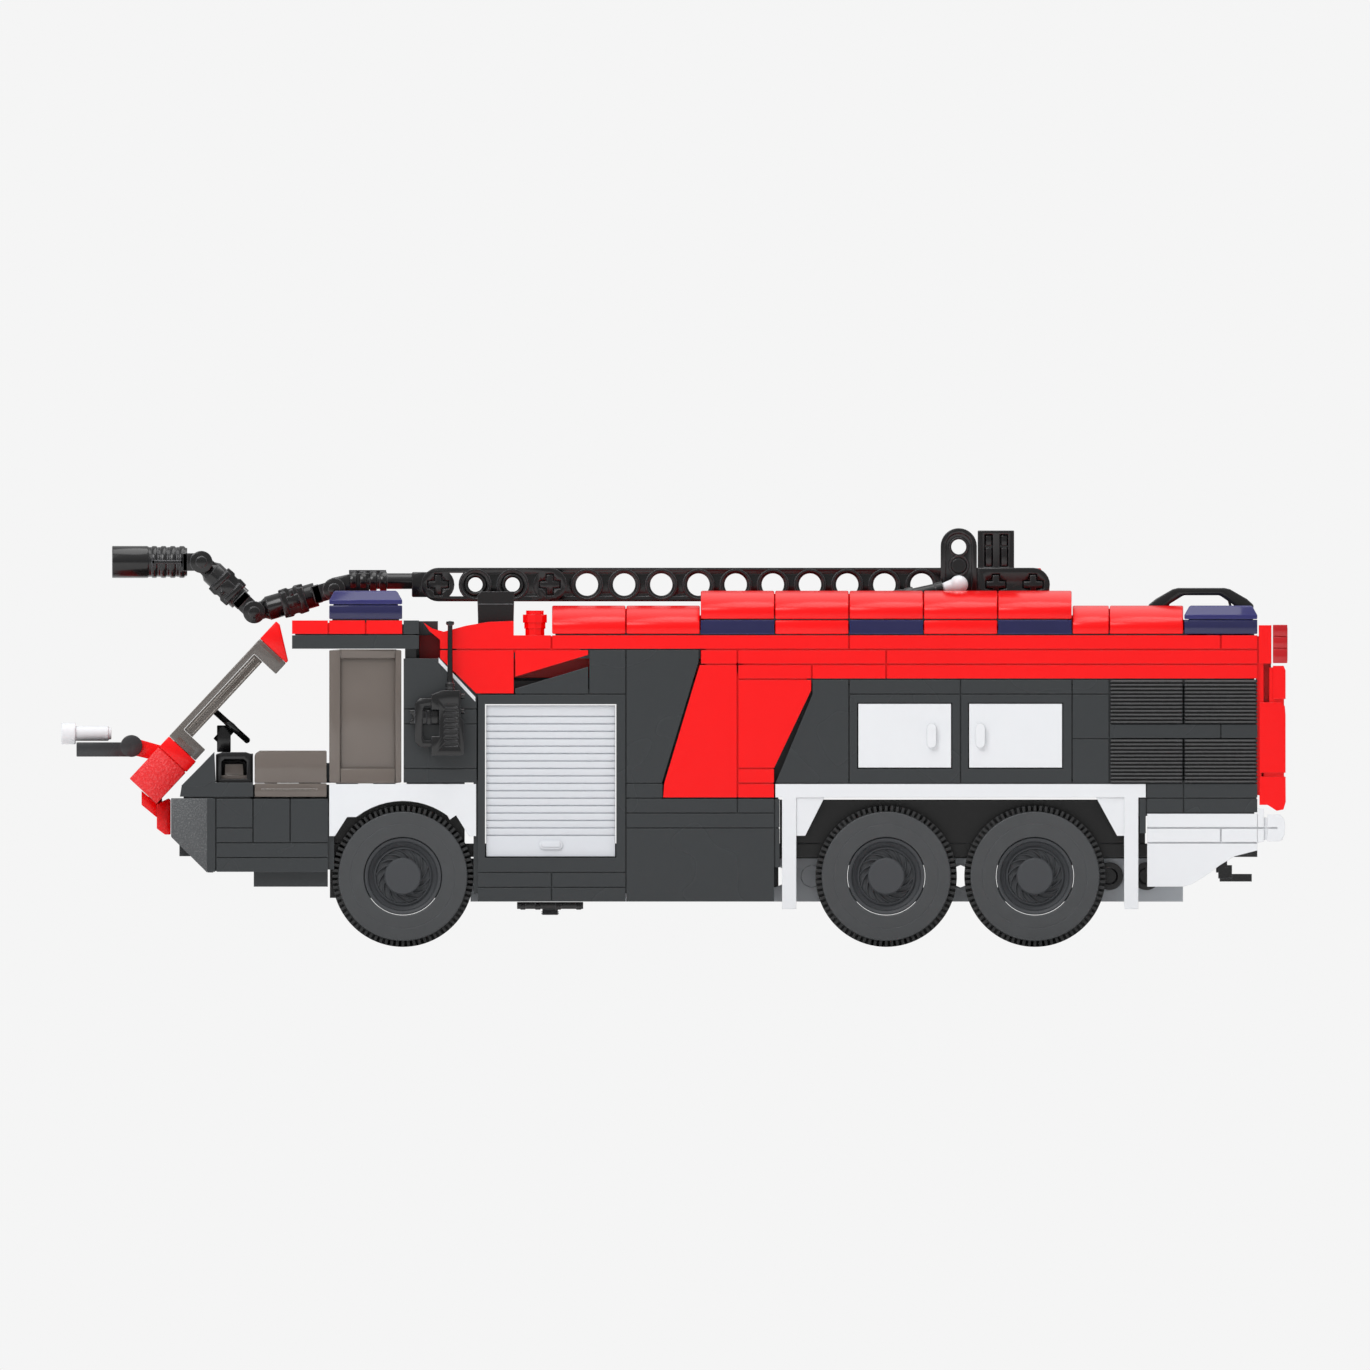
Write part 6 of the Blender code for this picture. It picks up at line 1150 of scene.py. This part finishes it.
def under_bits():
    """Small black fittings below the shutter bay."""
    y0, y1 = 2.9 * STUD, 3.35 * STUD
    bits = Shape().grid_box(18.15, 19.93, y0, y1, 2.55, 3.02)
    for k in (18.2, 18.75, 19.3, 19.7):
        bits.grid_box(k, k + 0.14, y0 * 1.01, y1 * 1.01, 2.5, 2.95)
    bits.grid_box(18.83, 19.25, y0, y1 * 0.98, 2.15, 2.6)
    for n in (2.2, 2.32):
        bits.grid_box(18.8, 19.28, y0, y1, n, n + 0.06)
    bits.twin().piece("under_fittings", "black", bevel=0.0001)


def grilles():
    """Louvred panels at the rear: twelve leaning slats each over a near-black ground, painted shade for the
    inside of the grille.
    """
    face = WALL_FACE
    pitch = up(3) / 12
    slats = Shape()
    ground = Shape()
    for n0 in (15.0, 11.0):
        for k0, k1 in ((2.03, 3.97), (0.05, 1.97)):
            ground.grid_box(k0, k1, face - 0.0002, face + 0.00004, n0 + 0.02, n0 + 2.98)
            for i in range(12):
                z = up(n0) + pitch * (i + 0.14)
                slat = [(face - 0.0001, z), (face + 0.00030, z + pitch * 0.08),
                        (face + 0.00030, z + pitch * 0.22), (face + 0.00010, z + pitch * 0.62),
                        (face - 0.0001, z + pitch * 0.66)]
                slats.lengthwise(slat, along(k0) + 0.00008, along(k1) - 0.00008)
    # painted shade: the ground is a near-black sheet standing for the shade inside the grille
    both_sides(ground, "grille_painted_shade", "dark", smooth=0, look="deep")
    both_sides(slats, "grille_slats", "dark", smooth=0, look="black")


def shutters():
    """Roller shutters of softly curved slats, with an oval pull at the foot."""
    first, last = ((GROUND_PX - line) / PX_PER_M for line in SHUTTER_LINES_PX)
    pitch = (first - last) / (SHUTTER_LINES - 1)
    low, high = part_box("shutter_left")
    face, back = SHUTTER_FACE, SHUTTER_FACE - 0.0013
    outline = [(back, low.z), (face, low.z)]
    for i in range(SHUTTER_LINES):
        z = last + pitch * i
        outline += [(face, z - 0.00014), (face - 0.00045, z - 0.00006), (face - 0.00045, z + 0.00006),
                    (face - 0.00016, z + 0.00014), (face, z + 0.00060)]
    outline += [(face, high.z), (back, high.z)]
    sheet = Shape().lengthwise(outline, low.x, high.x)
    both_sides(sheet, "shutter_sheet", "light", "shutter_", ("shutter",), smooth=42)
    x, z = along(19.015), (GROUND_PX - PULL_PX) / PX_PER_M
    pull = Shape().prism(capsule(x - 0.0016, x + 0.0016, z, 0.00095), face - 0.0002, face + 0.0005)
    pull.prism(capsule(x - 0.0015, x + 0.0015, z + 0.00008, 0.00058), face + 0.0004, face + 0.00072)
    both_sides(pull, "shutter_pull", "light", "shutter_", bevel=0.00016)


def beam_pins():
    """Black pins in two holes of the chassis beams and a grey one between leg and wheel."""
    profile = [(0.0, 0.0090), (0.00238, 0.0090), (0.00238, 0.0158), (0.0030, 0.0160), (0.0030, 0.0165),
               (0.0018, 0.0165), (0.0016, 0.0150), (0.0, 0.0150)]
    pins = Shape()
    for k in (3.0, 4.0):
        pins.turn(profile, (along(k), 0, WHEEL_HEIGHT))
    pins.twin().piece("beam_pins", "black", smooth=35)
    plug = Shape().cross_rod(along(12), WHEEL_HEIGHT, -0.01585, 0.01585, 0.00238)
    plug.piece("beam_plug", "grey")


grilles()
shutters()
beam_pins()
lamp_pieces()
slope_pieces()
rail_pieces()
deck_studs()
tail_pieces()
under_bits()


# floor, light and camera
PALE = srgb("f5f5f5")
FLOOR_HALF = 6.0


def floor():
    mesh = bpy.data.meshes.new("floor")
    corners = [(x * FLOOR_HALF, y * FLOOR_HALF, 0) for x, y in ((-1, -1), (1, -1), (1, 1), (-1, 1))]
    mesh.from_pydata(corners, [], [(0, 1, 2, 3)])
    n = Nodes(bpy.data.materials.new("studio_floor"))
    tone = n.mix(n.noise(3, 2), shade(PALE, 0.985), PALE)
    mesh.materials.append(n.dressed(Base_Color=tone, Roughness=0.7))
    linked("floor", mesh)


def area_light(name, place, target, size, size_y, power):
    data = bpy.data.lights.new(name, "AREA")
    data.energy = power
    data.shape = "RECTANGLE"
    data.size = size
    data.size_y = size_y
    obj = linked(name, data)
    obj.location = place
    obj.rotation_mode = "QUATERNION"
    obj.rotation_quaternion = (Vector(target) - Vector(place)).to_track_quat("-Z", "Y")


def studio():
    """Even white room: what the camera sees is flat and pale, what lights the toy is brighter from above."""
    world = bpy.data.worlds.new("studio")
    bpy.context.scene.world = world
    n = Nodes(world)
    n.tree.nodes.clear()
    coords = n.add("ShaderNodeTexCoord").outputs["Generated"]
    height = n.add("ShaderNodeSeparateXYZ", {"Vector": coords}).outputs["Z"]
    room = n.add("ShaderNodeBackground", {"Color": n.ranged(height, -0.2, 0.9, 0.45, 1.25), "Strength": 0.62})
    seen = n.add("ShaderNodeBackground", {"Color": (*PALE, 1)})
    camera_ray = n.add("ShaderNodeLightPath").outputs["Is Camera Ray"]
    inputs = {"Fac": camera_ray, 1: room.outputs["Background"], 2: seen.outputs["Background"]}
    mixed = n.add("ShaderNodeMixShader", inputs).outputs["Shader"]
    n.add("ShaderNodeOutputWorld", {"Surface": mixed})
    area_light("key_light", (0.45, 0.75, 0.75), (0, 0, 0.04), 0.55, 0.55, 5.0)
    area_light("top_light", (-0.10, 0.05, 0.95), (0, 0, 0.04), 0.9, 0.6, 4.0)
    area_light("rear_light", (-0.8, -0.55, 0.5), (0, 0, 0.05), 0.5, 0.5, 2.5)


def camera():
    data = bpy.data.cameras.new("camera")
    data.type = "ORTHO"
    data.ortho_scale = FRAME_PX / PX_PER_M
    data.clip_start = 0.01
    data.clip_end = 20
    obj = linked("camera", data)
    half = FRAME_PX / 2
    obj.location = ((MIDDLE_PX - half) / PX_PER_M, 1.5, (GROUND_PX - half) / PX_PER_M)
    obj.rotation_euler = (math.radians(90), 0, math.radians(180))
    bpy.context.scene.camera = obj


floor()
studio()
camera()
bpy.context.scene.view_settings.view_transform = "Standard"
